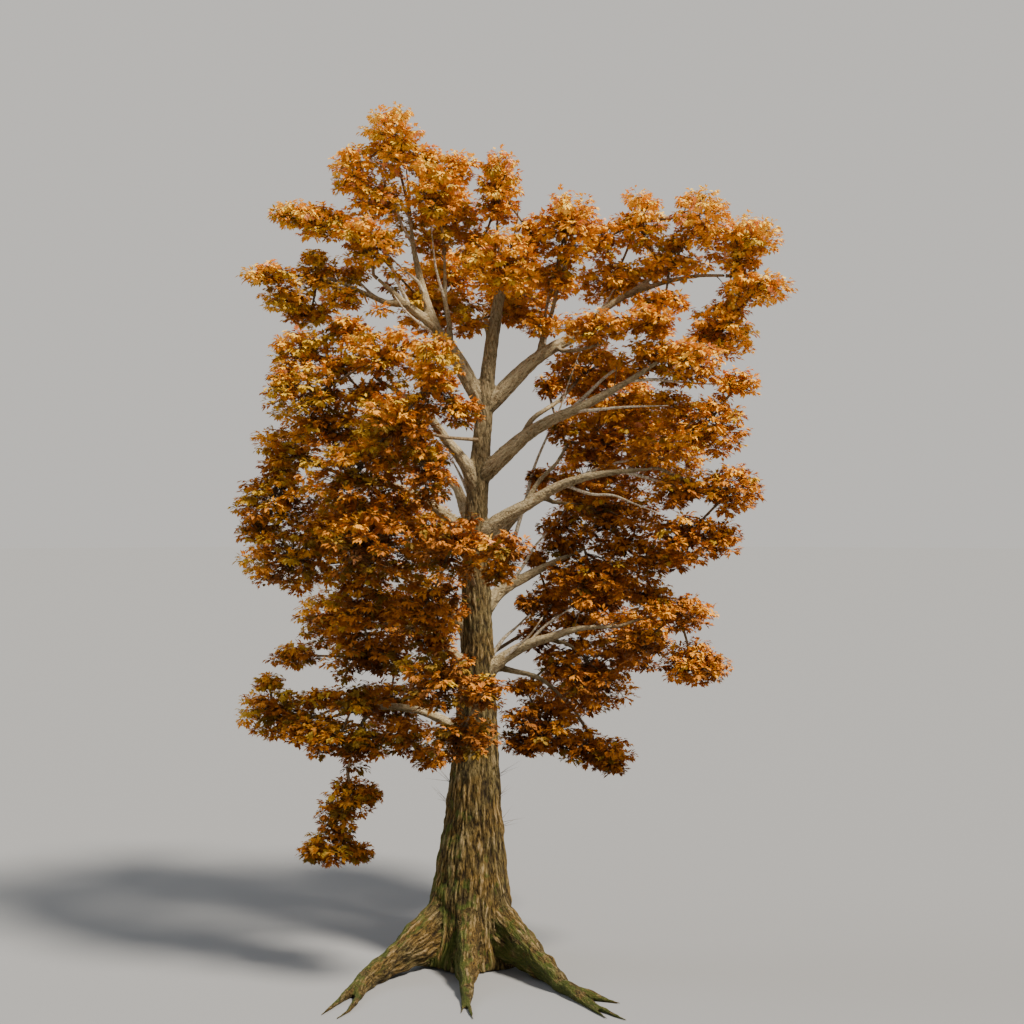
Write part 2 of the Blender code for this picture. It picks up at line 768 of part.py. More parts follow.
def plan_main_twigs(name, carrier, clumps, paths, limbs, rng):
    """The main twigs of a mass: its stem to the first clump, and on from clump to clump."""
    foot, lead, foot_radius, clear_from = stem_foot(carrier, clumps[0], paths)
    twigs = []
    reached = []
    for clump in clumps:
        start, way, radius = foot, lead, foot_radius
        if reached:
            start = min(reached, key=lambda place: (place - clump.centre).length)
            way, radius = None, TWIG_RADIUS
        for attempt in range(TRIES):
            points = bent_twig(start, clump.centre, way, TWIG_BEND + BEND_STEP * attempt, rng)
            tested = points if reached else [clear_from] + points[-2:]
            if not touches(limbs, add_twig, tested, [TWIG_RADIUS + CLEARANCE] * len(tested)):
                break
        else:
            print("no clear way for a main twig of", name)
        last = len(points) - 1
        radii = [radius + (TWIG_RADIUS - radius) * step / last for step in range(len(points))]
        twigs.append((points, radii))
        reached.append(clump.centre)
    return twigs


def limb_rows(paths, radii):
    """The points and radii of the trunk and of every bough."""
    heights = [TRUNK_HEIGHT * step / TRUNK_RINGS for step in range(TRUNK_RINGS + 1)]
    trunk = ([trunk_centre(height) for height in heights], [trunk_radius(height) for height in heights])
    return [trunk] + [(paths[name], radii[name]) for name in paths]


def limb_tree(rows):
    """A search tree of rough round limbs, each a clearance thicker than the real one."""
    shell = bmesh.new()
    for points, radii in rows:
        thick = [(radius + CLEARANCE) * LIMB_SWELL for radius in radii]
        for start, end, near, far in zip(points, points[1:], thick, thick[1:]):
            bmesh.ops.create_cone(
                shell,
                cap_ends=True,
                segments=LIMB_SIDES,
                radius1=near,
                radius2=far,
                depth=(end - start).length,
                matrix=ring_frame((start + end) / 2, end - start, 1.0),
            )
    tree = BVHTree.FromBMesh(shell)
    shell.free()
    return tree


def build_masses(collection, paths, radii, trunk_cutter, materials):
    """Every mass of leaves, each one fused piece that keeps to its own space."""
    limbs = limb_rows(paths, radii)
    rng = random.Random(SEED + 1)
    main_twigs = {}
    grown = []
    for name, (carrier, clumps) in MASSES.items():
        # A mass also keeps clear of the main twigs of those before it
        main_twigs[name] = plan_main_twigs(name, carrier, clumps, paths, limb_tree(limbs + grown), rng)
        grown += [(points[1:], row[1:]) for points, row in main_twigs[name]]
    for number, (name, (carrier, clumps)) in enumerate(MASSES.items()):
        rest = [row for other, rows in main_twigs.items() if other != name for row in rows]
        others = [clump for other, (_, row) in MASSES.items() if other != name for clump in row]
        space = (others, limb_tree(limbs + rest))
        meets_trunk = carrier not in paths and carrier != TRUNK_HEIGHT
        cutter = trunk_cutter if meets_trunk else None
        rng = random.Random(SEED + 100 + number)
        item = build_mass(name, main_twigs[name], clumps, space, cutter, collection, rng)
        item.data.materials.append(materials[number % len(materials)])


def build_mass(name, main_twigs, clumps, space, cutter, collection, rng):
    """One mass: its main twigs, the side twigs of each clump, and leaves that reach the clump's outline."""
    others, around = space
    scraps = new_collection(name + "_pieces")
    item = piece_object(name, collection, add_twig, *main_twigs[0])
    if cutter:
        cut(item, cutter)
        apply_modifiers(item)
    for number, (points, radii) in enumerate(main_twigs[1:]):
        piece_object(f"{name}_main_{number}", scraps, add_twig, points, radii)
    placed = bmesh.new()
    for number, (clump, (points, _)) in enumerate(zip(clumps, main_twigs)):
        twigs = [(points[-2], points[-1])]
        for twig, direction in enumerate(even_directions(round(TWIGS_PER_METRE * clump.reach), rng)):
            start = clump.centre.lerp(points[-2], FIRST_TWIG + NEXT_TWIG * twig)
            end = clump.centre + direction * clump.half_sizes * TWIG_REACH
            radii = [SIDE_TWIG_RADIUS, TWIG_TIP_RADIUS]
            if in_cell(end, clump, others) and not touches(around, add_twig, [start, end], radii):
                piece_object(f"{name}_twig_{number}_{twig}", scraps, add_twig, [start, end], radii)
                twigs.append((start, end))
        for twig, (start, end) in enumerate(twigs):
            add_leaves(f"{name}_leaf_{number}_{twig}", start, end, clump, space, placed, scraps, rng)
    placed.free()
    join_with_collection(item, scraps)
    return item


def add_leaves(name, start, end, clump, space, placed, scraps, rng):
    """A leaf at a twig's end and two on its sides, all reaching towards the clump's outline."""
    others, around = space
    way = (end - start).normalized()
    side = way.orthogonal().normalized()
    turn = rng.uniform(0, 2 * math.pi)
    for number, share in enumerate(LEAF_PLACES):
        for attempt in range(TRIES):
            tilt = math.radians(rng.uniform(*SIDE_LEAF_TILTS) if number else attempt * END_LEAF_TILT)
            around_way = Matrix.Rotation(turn + number * math.pi + attempt * GOLDEN_ANGLE, 3, way) @ side
            direction = way * math.cos(tilt) + around_way * math.sin(tilt)
            root = start.lerp(end, share) - (Vector() if number else way * LEAF_SUNK)
            length = min(max(outline_distance(root, direction, clump), LEAF_SIZES[0]), LEAF_SIZES[1])
            face_way = Vector([rng.uniform(*span) for span in LEAF_FACING])
            frame = leaf_frame(root, direction, face_way, length)
            corners = [frame @ Vector(corner) for corner in ((1, 0, 0), (0, 1, 0), (0, -1, 0))]
            if not all(in_cell(corner, clump, others) for corner in corners):
                continue
            neighbours = BVHTree.FromBMesh(placed)
            if not touches(around, add_leaf, frame) and not touches(neighbours, add_leaf, frame):
                piece_object(f"{name}_{number}", scraps, add_leaf, frame)
                add_leaf(placed, frame)
                break


def outline_distance(place, direction, clump):
    """How far it is from a place inside a clump to the clump's outline, along a direction."""
    sizes = clump.half_sizes
    offset = place - clump.centre
    a = sum((direction[axis] / sizes[axis]) ** 2 for axis in range(3))
    b = sum(offset[axis] * direction[axis] / sizes[axis] ** 2 for axis in range(3))
    c = sum((offset[axis] / sizes[axis]) ** 2 for axis in range(3)) - 1
    root = b * b - a * c
    return (math.sqrt(root) - b) / a if root > 0 else 0.0


def keep_main_body(mesh):
    """Drops loose scraps and the walls of sealed hollows, so that one closed body is left."""
    shell = bmesh.new()
    shell.from_mesh(mesh)
    bmesh.ops.remove_doubles(shell, verts=shell.verts, dist=WELD)
    shell.verts.ensure_lookup_table()
    seen = set()
    bodies = []
    for vertex in shell.verts:
        if vertex in seen:
            continue
        body = {vertex}
        edge_of_body = [vertex]
        while edge_of_body:
            for link in edge_of_body.pop().link_edges:
                for end in link.verts:
                    if end not in body:
                        body.add(end)
                        edge_of_body.append(end)
        seen |= body
        bodies.append(body)
    bodies.sort(key=len)
    for body in bodies[:-1]:
        bmesh.ops.delete(shell, geom=list(body), context="VERTS")
    shell.to_mesh(mesh)
    shell.free()


def main():
    clear_scene()
    tree = new_collection("sassafras_tree")
    helpers = new_collection("cutters")
    bark = new_material("bark", BARK_COLOUR, BARK_ROUGHNESS)
    leaves = [new_material("leaves_" + name, colour, LEAF_ROUGHNESS) for name, colour in LEAF_COLOURS.items()]
    trunk = build_trunk(tree, helpers, bark)
    paths, radii, trunk_cutter = build_boughs(tree, helpers, trunk, bark)
    build_masses(tree, paths, radii, trunk_cutter, leaves)


main()
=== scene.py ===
"""The looks of a sassafras tree in autumn leaf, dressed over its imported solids.

Metres, +Z up. The origin is the middle of the flat cut under the trunk, the front is -Y, and +X is to the
right of someone who looks at the front. The trunk, roots and boughs follow the same plan as the solids and
get their bark's relief. Each mass of leaves is grown again by the solids' rule and carried on to fine twigs
and leaves.
"""

import json
import logging
import math
import random
from collections.abc import Iterable, Iterator, Sequence
from dataclasses import dataclass, field
from enum import Enum
from functools import cache

import bmesh
import bpy
import numpy as np
from mathutils import Matrix, Vector, noise
from mathutils.geometry import interpolate_bezier

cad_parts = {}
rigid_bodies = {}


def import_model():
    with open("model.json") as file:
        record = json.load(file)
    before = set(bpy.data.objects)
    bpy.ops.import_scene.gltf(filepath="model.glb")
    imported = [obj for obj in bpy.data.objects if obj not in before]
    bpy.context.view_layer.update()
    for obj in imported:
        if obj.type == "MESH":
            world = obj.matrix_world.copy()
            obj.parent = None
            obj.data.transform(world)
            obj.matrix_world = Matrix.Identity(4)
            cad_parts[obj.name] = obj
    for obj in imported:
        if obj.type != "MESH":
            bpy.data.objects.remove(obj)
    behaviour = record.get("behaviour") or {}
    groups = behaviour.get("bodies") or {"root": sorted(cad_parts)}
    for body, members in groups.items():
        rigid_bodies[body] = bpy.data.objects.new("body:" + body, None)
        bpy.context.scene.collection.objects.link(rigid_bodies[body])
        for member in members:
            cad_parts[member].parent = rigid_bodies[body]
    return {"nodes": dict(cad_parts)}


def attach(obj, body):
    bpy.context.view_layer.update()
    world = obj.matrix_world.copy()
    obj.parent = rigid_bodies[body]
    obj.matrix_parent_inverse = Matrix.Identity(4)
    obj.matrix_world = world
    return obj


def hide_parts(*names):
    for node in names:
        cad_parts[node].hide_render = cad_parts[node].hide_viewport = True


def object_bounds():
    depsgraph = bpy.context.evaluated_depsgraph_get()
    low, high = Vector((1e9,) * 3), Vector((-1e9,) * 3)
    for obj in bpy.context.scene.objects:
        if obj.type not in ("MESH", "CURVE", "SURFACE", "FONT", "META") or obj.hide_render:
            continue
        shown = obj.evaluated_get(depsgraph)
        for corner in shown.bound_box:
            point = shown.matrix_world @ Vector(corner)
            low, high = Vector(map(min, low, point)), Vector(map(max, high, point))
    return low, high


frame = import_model()
CAD_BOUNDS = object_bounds()

log = logging.getLogger("sassafras_tree")

SEED = 3060
BODY = "root"
MeshArrays = tuple[np.ndarray, np.ndarray]  # the points and the triangles
Pair = tuple[float, float]
GOLDEN_ANGLE = math.pi * (3 - math.sqrt(5))
UP = Vector((0.0, 0.0, 1.0))
NEARLY_NOTHING = 1e-9
NOISE_MIDDLE = 0.5
CUT_DISTANCE = 1e-5

# Trunk, as in the solids
TRUNK_HEIGHT = 15.7
TRUNK_TOP_RADIUS = 0.12
TRUNK_TAPER = 0.0195
FLARE_RADIUS = 0.76
FLARE_HEIGHT = 3.7
BUTTRESS = 0.16
BUTTRESS_HEIGHT = 1.1
LEAN = 0.03
SWEEP = 0.028
SWEEP_FROM = 12.5
BOW = 0.15
BOW_HEIGHT = 10.0
BOW_LENGTH = 2.3
WANDER = 0.07
WANDER_RATE = 0.4

# Roots and boughs, as in the solids
ROOT_POINTS = 7
ROOT_TAPER = 1.3
ROOT_SUNK = 0.9
ROOT_SHOULDER = 0.5
ROOT_TIP_RADIUS = 0.035
BOUGH_SPACING = 0.75
BOUGH_TAPER = 0.9
BOUGH_FEWEST_POINTS = 5
BOUGH_COLLAR = 0.25
COLLAR_REACH = 0.25
COLLAR_LIMIT = 0.8
HANDLE = 0.38
KINK = 0.035
BRANCH_TIP_RADIUS = 0.045

# Masses of leaves, as in the solids
CLUMP_DEPTH = 0.55
STEM_LEAD = 0.12
TWIG_ELBOW = 0.55
TWIG_BEND = 0.05

# Where the first side of a tube or of a limb's grain faces, which no limb points along
LIMB_SIDE = np.array((0.31, 0.95, 0.05))
TWIG_SIDE = np.array((0.62, 0.21, 0.75))
SPIKE_SIDE = np.array((0.31, 0.2, 0.93))


@dataclass(frozen=True)
class Root:
    """One surface root: the way it leaves the trunk, in degrees from +X, and where its tip lies."""

    leave: float
    tip: Pair
    arrive: float
    radius: float
    start: float = 0.0


@dataclass(frozen=True)
class Bough:
    """One tapering limb: what carries it, where its tip is, and its pitch in degrees at either end."""

    parent: str
    at: float
    tip: tuple[float, float, float]
    leave: float
    arrive: float
    radius: float


@dataclass(frozen=True)
class Clump:
    """One rounded clump inside a mass of leaves."""

    x: float
    y: float
    z: float
    half_width: float
    half_height: float

    @property
    def centre(self) -> Vector:
        """The clump's middle."""
        return Vector((self.x, self.y, self.z))

    @property
    def half_sizes(self) -> Vector:
        """Half the clump's width, depth and height."""
        depth = CLUMP_DEPTH * (self.half_width + self.half_height)
        return Vector((self.half_width, depth, self.half_height))

    @property
    def reach(self) -> float:
        """The radius of a ball of the same volume."""
        sizes = self.half_sizes
        return (sizes.x * sizes.y * sizes.z) ** (1 / 3)


def clumps_at(*rows: tuple[float, ...]) -> tuple[Clump, ...]:
    """Clumps from rows of x, y, z, half width and half height."""
    return tuple(Clump(*row) for row in rows)


# Each chain is a root and the side roots that leave it
ROOT_CHAINS = {
    "left": (Root(208, (-2.95, -3.9), 250, 0.50), Root(228, (-2.6, -4.1), 236, 0.20, start=0.42)),
    "middle": (Root(270, (0.2, -4.15), 280, 0.40), Root(264, (-0.06, -3.8), 262, 0.08, start=0.55)),
    "right": (
        Root(330, (2.95, -4.1), 300, 0.50),
        Root(318, (3.3, -3.2), 335, 0.14, start=0.62),
        Root(300, (3.35, -4.2), 312, 0.11, start=0.7),
    ),
    "back_left": (Root(115, (-0.75, 3.3), 100, 0.38),),
    "back_right": (Root(60, (0.85, 2.9), 75, 0.34),),
}

BOUGHS = {
    "bough_left_top": Bough("trunk", 12.8, (-2.1, -0.5, 15.8), 68, 40, 0.22),
    "branch_peak": Bough("bough_left_top", 0.55, (-1.4, 0.2, 17.4), 75, 88, 0.12),
    "branch_top_centre": Bough("bough_left_top", 0.42, (-0.6, 0.3, 16.5), 82, 88, 0.08),
    "branch_far_left": Bough("bough_left_top", 0.78, (-3.1, -0.2, 15.8), 2, 20, 0.085),
    "bough_right_top": Bough("trunk", 12.75, (4.5, 0.3, 16.1), 49, 37, 0.20),
    "branch_right_tip": Bough("bough_right_top", 0.82, (6.0, 0.0, 15.95), 20, -5, 0.075),
    "branch_right_crest": Bough("bough_right_top", 0.34, (2.2, -0.4, 16.0), 82, 70, 0.075),
    "branch_right_shelf": Bough("bough_right_top", 0.42, (2.9, -1.0, 14.2), -30, 5, 0.06),
    "bough_right_upper": Bough("trunk", 11.15, (4.5, -1.2, 13.95), 52, 36, 0.20),
    "branch_upper_back": Bough("bough_right_upper", 0.27, (2.5, 1.0, 13.5), 60, 48, 0.08),
    "bough_right_middle": Bough("trunk", 9.65, (4.2, -1.0, 11.4), 46, 2, 0.19),
    "branch_middle_rising": Bough("bough_right_middle", 0.33, (2.3, 0.8, 12.0), 60, 58, 0.075),
    "branch_middle_inner": Bough("bough_right_middle", 0.42, (2.7, 0.4, 10.6), -20, 0, 0.065),
    "bough_right_lower": Bough("trunk", 7.9, (2.6, 0.4, 9.5), 57, 25, 0.19),
    "bough_right_low": Bough("trunk", 6.2, (3.3, -0.8, 7.8), 56, 0, 0.18),
    "branch_low_inner": Bough("bough_right_low", 0.6, (2.6, 0.1, 7.1), -20, -40, 0.07),
    "bough_right_lowest": Bough("bough_right_low", 0.2, (2.4, 0.5, 5.8), -8, -50, 0.08),
    "bough_left_upper": Bough("trunk", 10.8, (-2.0, -1.2, 13.4), 64, 25, 0.17),
    "bough_left_middle": Bough("trunk", 9.6, (-2.9, -0.6, 11.3), 52, 10, 0.16),
    "bough_left_lower": Bough("trunk", 7.1, (-2.4, -1.0, 9.3), 66, 15, 0.17),
    "bough_left_low": Bough("trunk", 6.2, (-1.7, -1.0, 7.85), 64, 0, 0.15),
    "bough_left_lowest": Bough("trunk", 5.1, (-3.1, -0.9, 5.75), 38, -18, 0.14),
    "branch_hanging": Bough("bough_left_lowest", 0.72, (-2.7, -1.1, 4.6), -25, -80, 0.06),
    "bough_back_top": Bough("trunk", 14.1, (0.3, 2.0, 15.5), 45, 30, 0.13),
    "bough_back_right": Bough("trunk", 9.0, (2.0, 2.3, 10.95), 52, 22, 0.16),
    "bough_back_left": Bough("trunk", 9.95, (-1.3, 2.3, 11.9), 50, 20, 0.16),
}

# How high on the trunk each mass starts that no limb of the same name carries
ON_TRUNK = {
    "leaves_leader": TRUNK_HEIGHT,
    "leaves_front_upper": 12.1,
    "leaves_front_middle": 8.6,
    "leaves_front_low": 5.9,
    "leaves_back_low_right": 6.9,
    "leaves_back_low_left": 6.3,
}

# The clumps that each mass of leaves fills, in the solids too
MASSES = {
    "leaves_leader": clumps_at(
        (0.7, 0.0, 18.0, 0.56, 0.98), (0.2, 0.8, 16.7, 0.60, 0.60), (0.8, -0.9, 16.1, 0.96, 0.80),
    ),
    "leaves_left_top": clumps_at((-2.3, -0.8, 16.6, 0.87, 0.64), (-3.5, 0.0, 17.2, 0.94, 0.47)),
    "leaves_peak": clumps_at((-1.8, 0.0, 19.1, 0.77, 0.90), (-2.7, -0.2, 18.3, 0.56, 0.70)),
    "leaves_top_centre": clumps_at((-0.8, -0.6, 17.8, 0.72, 0.83), (-0.4, 1.0, 17.6, 0.87, 0.72)),
    "leaves_far_left": clumps_at(
        (-3.6, 0.3, 16.0, 0.57, 0.50), (-4.6, -0.2, 15.9, 0.77, 0.38), (-3.8, 0.4, 15.1, 0.85, 0.35),
    ),
    "leaves_right_top": clumps_at(
        (4.0, 0.5, 17.3, 0.71, 0.81), (5.4, -0.2, 17.2, 0.74, 0.77), (3.4, 0.8, 15.9, 0.95, 0.57),
    ),
    "leaves_right_tip": clumps_at(
        (6.5, 0.0, 16.8, 0.84, 0.66), (6.7, -0.3, 15.6, 0.84, 0.45), (5.8, 0.3, 14.6, 0.99, 0.80),
    ),
    "leaves_right_crest": clumps_at((2.3, -0.5, 17.0, 0.76, 0.92)),
    "leaves_right_shelf": clumps_at((2.8, -1.2, 14.6, 0.90, 0.42), (4.1, -1.1, 14.7, 0.80, 0.42)),
    "leaves_right_upper": clumps_at(
        (5.0, -1.2, 13.8, 0.79, 0.63), (6.1, -1.0, 13.3, 0.59, 0.42), (5.3, -0.8, 12.3, 1.19, 0.78),
    ),
    "leaves_upper_back": clumps_at((2.9, 1.5, 13.9, 1.03, 0.73)),
    "leaves_right_middle": clumps_at((6.0, -0.8, 10.9, 0.78, 0.64), (5.0, -0.6, 9.8, 1.01, 0.69)),
    "leaves_middle_rising": clumps_at((3.3, 1.2, 12.2, 1.21, 0.78)),
    "leaves_middle_inner": clumps_at((3.3, 0.6, 10.3, 1.35, 0.80)),
    "leaves_right_lower": clumps_at((3.1, 0.4, 8.8, 1.47, 0.71)),
    "leaves_right_low": clumps_at((4.8, -0.8, 8.1, 0.91, 0.50), (5.1, -0.8, 6.9, 0.75, 0.64)),
    "leaves_low_inner": clumps_at((3.0, 0.2, 6.6, 1.06, 0.95)),
    "leaves_right_lowest": clumps_at((3.2, 0.2, 4.7, 0.71, 0.47), (1.7, 0.4, 5.4, 1.00, 0.76)),
    "leaves_left_upper": clumps_at(
        (-1.8, -1.5, 14.0, 1.07, 0.63), (-3.5, -1.0, 13.0, 1.14, 0.82), (-3.8, -0.5, 14.2, 0.83, 0.55),
    ),
    "leaves_left_middle": clumps_at((-4.3, 0.0, 11.9, 0.82, 0.66), (-4.4, -0.5, 10.6, 1.04, 0.74)),
    "leaves_left_lower": clumps_at((-4.1, -0.8, 9.3, 1.14, 0.80), (-2.0, -2.2, 9.7, 1.31, 0.92)),
    "leaves_left_low": clumps_at(
        (-2.4, -1.5, 8.3, 0.89, 0.56), (-2.2, -1.0, 7.1, 1.14, 0.66), (-4.1, -0.4, 7.1, 0.69, 0.36),
    ),
    "leaves_left_lowest": clumps_at(
        (-4.5, -0.6, 5.8, 0.83, 0.69), (-2.9, -1.3, 5.3, 0.90, 0.55), (-1.4, -1.6, 5.4, 0.62, 0.49),
    ),
    "leaves_hanging": clumps_at((-2.7, -1.0, 3.9, 0.68, 0.55), (-3.0, -1.0, 2.8, 0.82, 0.42)),
    "leaves_front_upper": clumps_at(
        (-1.5, -2.5, 12.3, 0.97, 0.87), (-0.7, -2.6, 13.4, 0.64, 0.99), (-0.1, -2.4, 12.6, 0.52, 0.43),
        (-0.8, -2.4, 11.2, 0.61, 0.80), (-2.5, -2.0, 11.1, 1.21, 0.88),
    ),
    "leaves_front_middle": clumps_at(
        (-0.3, -3.0, 9.7, 0.81, 0.81), (0.8, -3.4, 9.6, 0.67, 0.46), (-0.9, -2.0, 8.4, 0.95, 0.77),
    ),
    "leaves_front_low": clumps_at(
        (-0.6, -2.5, 6.8, 0.97, 0.80), (0.4, -3.2, 6.6, 0.59, 0.42), (-0.1, -2.8, 5.6, 0.86, 0.54),
    ),
    "leaves_back_top": clumps_at(
        (1.2, 3.2, 16.1, 1.03, 0.87), (-0.8, 3.0, 16.4, 1.02, 0.87), (-0.9, 1.3, 15.3, 1.00, 0.65),
    ),
    "leaves_back_right": clumps_at(
        (3.3, 3.8, 11.2, 1.25, 1.04), (3.5, 3.6, 13.3, 1.30, 1.09), (5.0, 3.0, 12.0, 1.07, 1.02),
    ),
    "leaves_back_left": clumps_at(
        (-2.2, 3.6, 12.3, 1.25, 1.09), (-1.1, 3.8, 9.7, 0.78, 0.94), (-3.2, 3.4, 10.0, 1.24, 1.03),
    ),
    "leaves_back_low_right": clumps_at(
        (3.0, 3.2, 8.2, 1.23, 0.92), (4.2, 2.6, 7.2, 0.91, 0.86), (2.5, 2.8, 5.9, 1.02, 0.76),
    ),
    "leaves_back_low_left": clumps_at(
        (-1.9, 3.0, 7.7, 1.17, 0.92), (-3.6, 2.4, 7.7, 0.90, 0.75), (-2.1, 2.6, 5.5, 0.96, 0.71),
    ),
}

# Smaller clumps between the masses, which the solids leave out, by the mass whose stems they grow on from
FILLERS = {
    "leaves_leader": clumps_at(
        (1.5, 0.2, 16.9, 0.55, 0.55), (1.0, 0.6, 15.2, 0.70, 0.45), (0.0, -0.3, 14.75, 0.45, 0.35),
    ),
    "leaves_peak": clumps_at((-2.1, 0.2, 17.7, 0.75, 0.60), (-1.0, 0.1, 18.6, 0.45, 0.50)),
    "leaves_top_centre": clumps_at((-0.3, 0.0, 18.5, 0.50, 0.45), (-0.85, 0.3, 16.85, 0.50, 0.35)),
    "leaves_left_top": clumps_at((-4.1, 0.1, 17.4, 0.65, 0.35), (-1.2, 0.5, 15.5, 0.40, 0.30)),
    "leaves_far_left": clumps_at(
        (-4.3, 0.1, 15.4, 0.65, 0.35), (-2.9, -0.3, 15.4, 0.60, 0.35), (-2.7, 0.0, 16.0, 0.45, 0.30),
        (-3.65, 0.1, 16.4, 0.36, 0.20),
    ),
    "leaves_right_top": clumps_at(
        (3.1, 0.2, 16.8, 0.55, 0.55), (4.7, 0.2, 16.2, 0.80, 0.45), (4.5, -0.2, 15.3, 0.70, 0.35),
        (4.8, 0.2, 16.75, 0.50, 0.25),
    ),
    "leaves_right_tip": clumps_at((6.1, 0.1, 15.2, 0.60, 0.40), (6.3, 0.0, 16.2, 0.50, 0.40)),
    "leaves_right_crest": clumps_at((2.0, -0.2, 15.8, 0.60, 0.50), (1.7, -0.3, 14.75, 0.50, 0.35)),
    "leaves_right_upper": clumps_at((4.2, -0.9, 14.0, 0.70, 0.45), (4.6, -0.5, 13.0, 0.55, 0.30)),
    "leaves_upper_back": clumps_at(
        (3.9, 1.2, 12.9, 0.80, 0.50), (1.85, 0.6, 13.4, 0.35, 0.35), (2.15, 0.5, 12.4, 0.35, 0.45),
    ),
    "leaves_right_middle": clumps_at(
        (4.9, -0.7, 10.9, 0.85, 0.50), (4.4, -0.3, 9.3, 0.85, 0.40), (5.9, -0.6, 9.8, 0.50, 0.45),
    ),
    "leaves_middle_inner": clumps_at(
        (2.3, 0.9, 11.1, 0.45, 0.40), (2.2, 0.6, 9.6, 0.60, 0.40), (1.6, 0.5, 11.25, 0.30, 0.25),
        (3.7, 0.4, 9.55, 0.90, 0.30), (2.0, 0.5, 10.05, 0.45, 0.35),
    ),
    "leaves_right_lower": clumps_at(
        (1.9, 0.5, 8.3, 0.55, 0.45), (4.3, 0.1, 8.4, 0.60, 0.45), (1.6, 0.6, 7.5, 0.50, 0.50),
        (1.35, 0.3, 8.25, 0.30, 0.35), (2.6, 0.8, 7.75, 0.60, 0.35), (1.55, 0.5, 9.3, 0.30, 0.25),
    ),
    "leaves_right_low": clumps_at((5.6, -0.7, 6.9, 0.45, 0.35), (4.0, -0.6, 7.4, 0.60, 0.45)),
    "leaves_right_lowest": clumps_at(
        (2.6, 0.3, 4.9, 0.70, 0.50), (1.3, 0.3, 6.3, 0.50, 0.30), (2.0, 0.4, 6.9, 0.50, 0.40),
        (3.3, 0.1, 4.5, 0.50, 0.30), (1.4, 0.3, 4.9, 0.70, 0.35),
    ),
    "leaves_left_upper": clumps_at(
        (-3.1, -1.0, 12.2, 0.90, 0.55), (-2.8, -0.8, 14.6, 0.70, 0.40), (-4.2, -0.7, 13.5, 0.45, 0.45),
        (-2.9, -0.8, 13.75, 0.60, 0.30), (-2.3, -1.2, 13.1, 0.60, 0.40),
    ),
    "leaves_left_middle": clumps_at((-4.9, -0.3, 10.0, 0.55, 0.50), (-4.4, -0.2, 11.3, 0.50, 0.45)),
    "leaves_left_lower": clumps_at(
        (-2.5, -1.2, 8.9, 0.80, 0.40), (-3.2, -1.3, 10.0, 0.75, 0.60), (-1.5, -1.0, 10.55, 0.55, 0.45),
    ),
    "leaves_left_low": clumps_at((-2.7, -1.0, 7.7, 0.50, 0.40), (-0.7, -1.3, 7.55, 0.60, 0.50)),
    "leaves_left_lowest": clumps_at(
        (-4.6, -0.6, 6.5, 0.40, 0.25), (-3.5, -0.8, 6.15, 0.50, 0.30), (-3.7, -0.9, 5.5, 0.70, 0.45),
        (-2.2, -1.4, 5.2, 0.60, 0.40), (-2.5, -1.2, 6.2, 0.80, 0.40), (-0.8, -1.5, 4.95, 0.55, 0.35),
    ),
    "leaves_front_middle": clumps_at((0.7, -3.3, 9.1, 0.40, 0.30)),
    "leaves_hanging": clumps_at(
        (-3.0, -1.0, 3.4, 0.50, 0.45), (-2.3, -1.0, 4.0, 0.40, 0.35), (-3.5, -1.0, 2.7, 0.40, 0.30),
        (-2.5, -1.0, 2.7, 0.40, 0.30),
    ),
}


# Thin branches that show between the leaves or stand bare, which the solids leave out
SIDE_BRANCHES = (
    Bough("trunk", 15.6, (1.16, -0.1, 17.65), 80, 88, 0.03),
    Bough("trunk", 10.4, (-0.45, 0.6, 11.7), 60, 50, 0.07),
    Bough("trunk", 6.7, (1.5, 0.35, 8.1), 50, 45, 0.07),
    Bough("branch_peak", 0.75, (-2.1, 0.0, 18.6), 60, 80, 0.04),
    Bough("branch_peak", 0.9, (-1.5, 0.3, 18.9), 70, 85, 0.035),
    Bough("branch_far_left", 0.3, (-3.1, 0.3, 16.1), 25, 10, 0.04),
    Bough("branch_top_centre", 0.5, (-0.9, -0.1, 17.2), 75, 85, 0.04),
    Bough("bough_left_top", 0.5, (-1.7, -0.7, 15.4), 30, 60, 0.05),
    Bough("bough_left_top", 0.75, (-2.3, -0.8, 17.3), 70, 65, 0.05),
    Bough("branch_peak", 0.3, (-1.9, -0.6, 16.4), 60, 45, 0.045),
    Bough("bough_left_lowest", 0.8, (-4.0, -0.9, 5.6), 10, -5, 0.045),
    Bough("bough_right_top", 0.36, (1.9, -0.1, 15.9), 75, 75, 0.05),
    Bough("bough_right_top", 0.6, (3.6, 0.4, 15.9), 50, 45, 0.045),
    Bough("bough_right_upper", 0.5, (4.3, -0.4, 14.2), 45, 25, 0.055),
    Bough("bough_right_upper", 0.52, (4.5, -1.5, 12.8), 5, 0, 0.045),
    Bough("bough_right_upper", 0.8, (5.8, -1.2, 13.3), 5, 0, 0.045),
    Bough("bough_right_middle", 0.5, (4.8, -0.3, 11.7), 25, 0, 0.05),
    Bough("bough_right_middle", 0.55, (4.3, -1.2, 10.4), -20, -25, 0.045),
    Bough("bough_right_middle", 0.85, (5.5, -0.8, 10.7), -15, -30, 0.045),
    Bough("bough_right_lower", 0.3, (2.6, 0.6, 14.2), 76, 70, 0.06),
    Bough("bough_right_lower", 0.36, (2.3, 0.3, 10.5), 58, 50, 0.045),
    Bough("bough_right_low", 0.45, (2.4, -0.2, 8.2), 45, 30, 0.045),
    Bough("bough_right_low", 0.12, (1.7, -0.6, 8.0), 50, 60, 0.05),
)

# Where sprays of leafless shoots leave the bare trunk: the height and the azimuth in degrees
BARE_SHOOTS = ((4.25, 0), (3.7, -20), (3.1, 5), (4.1, 190), (3.55, 172))


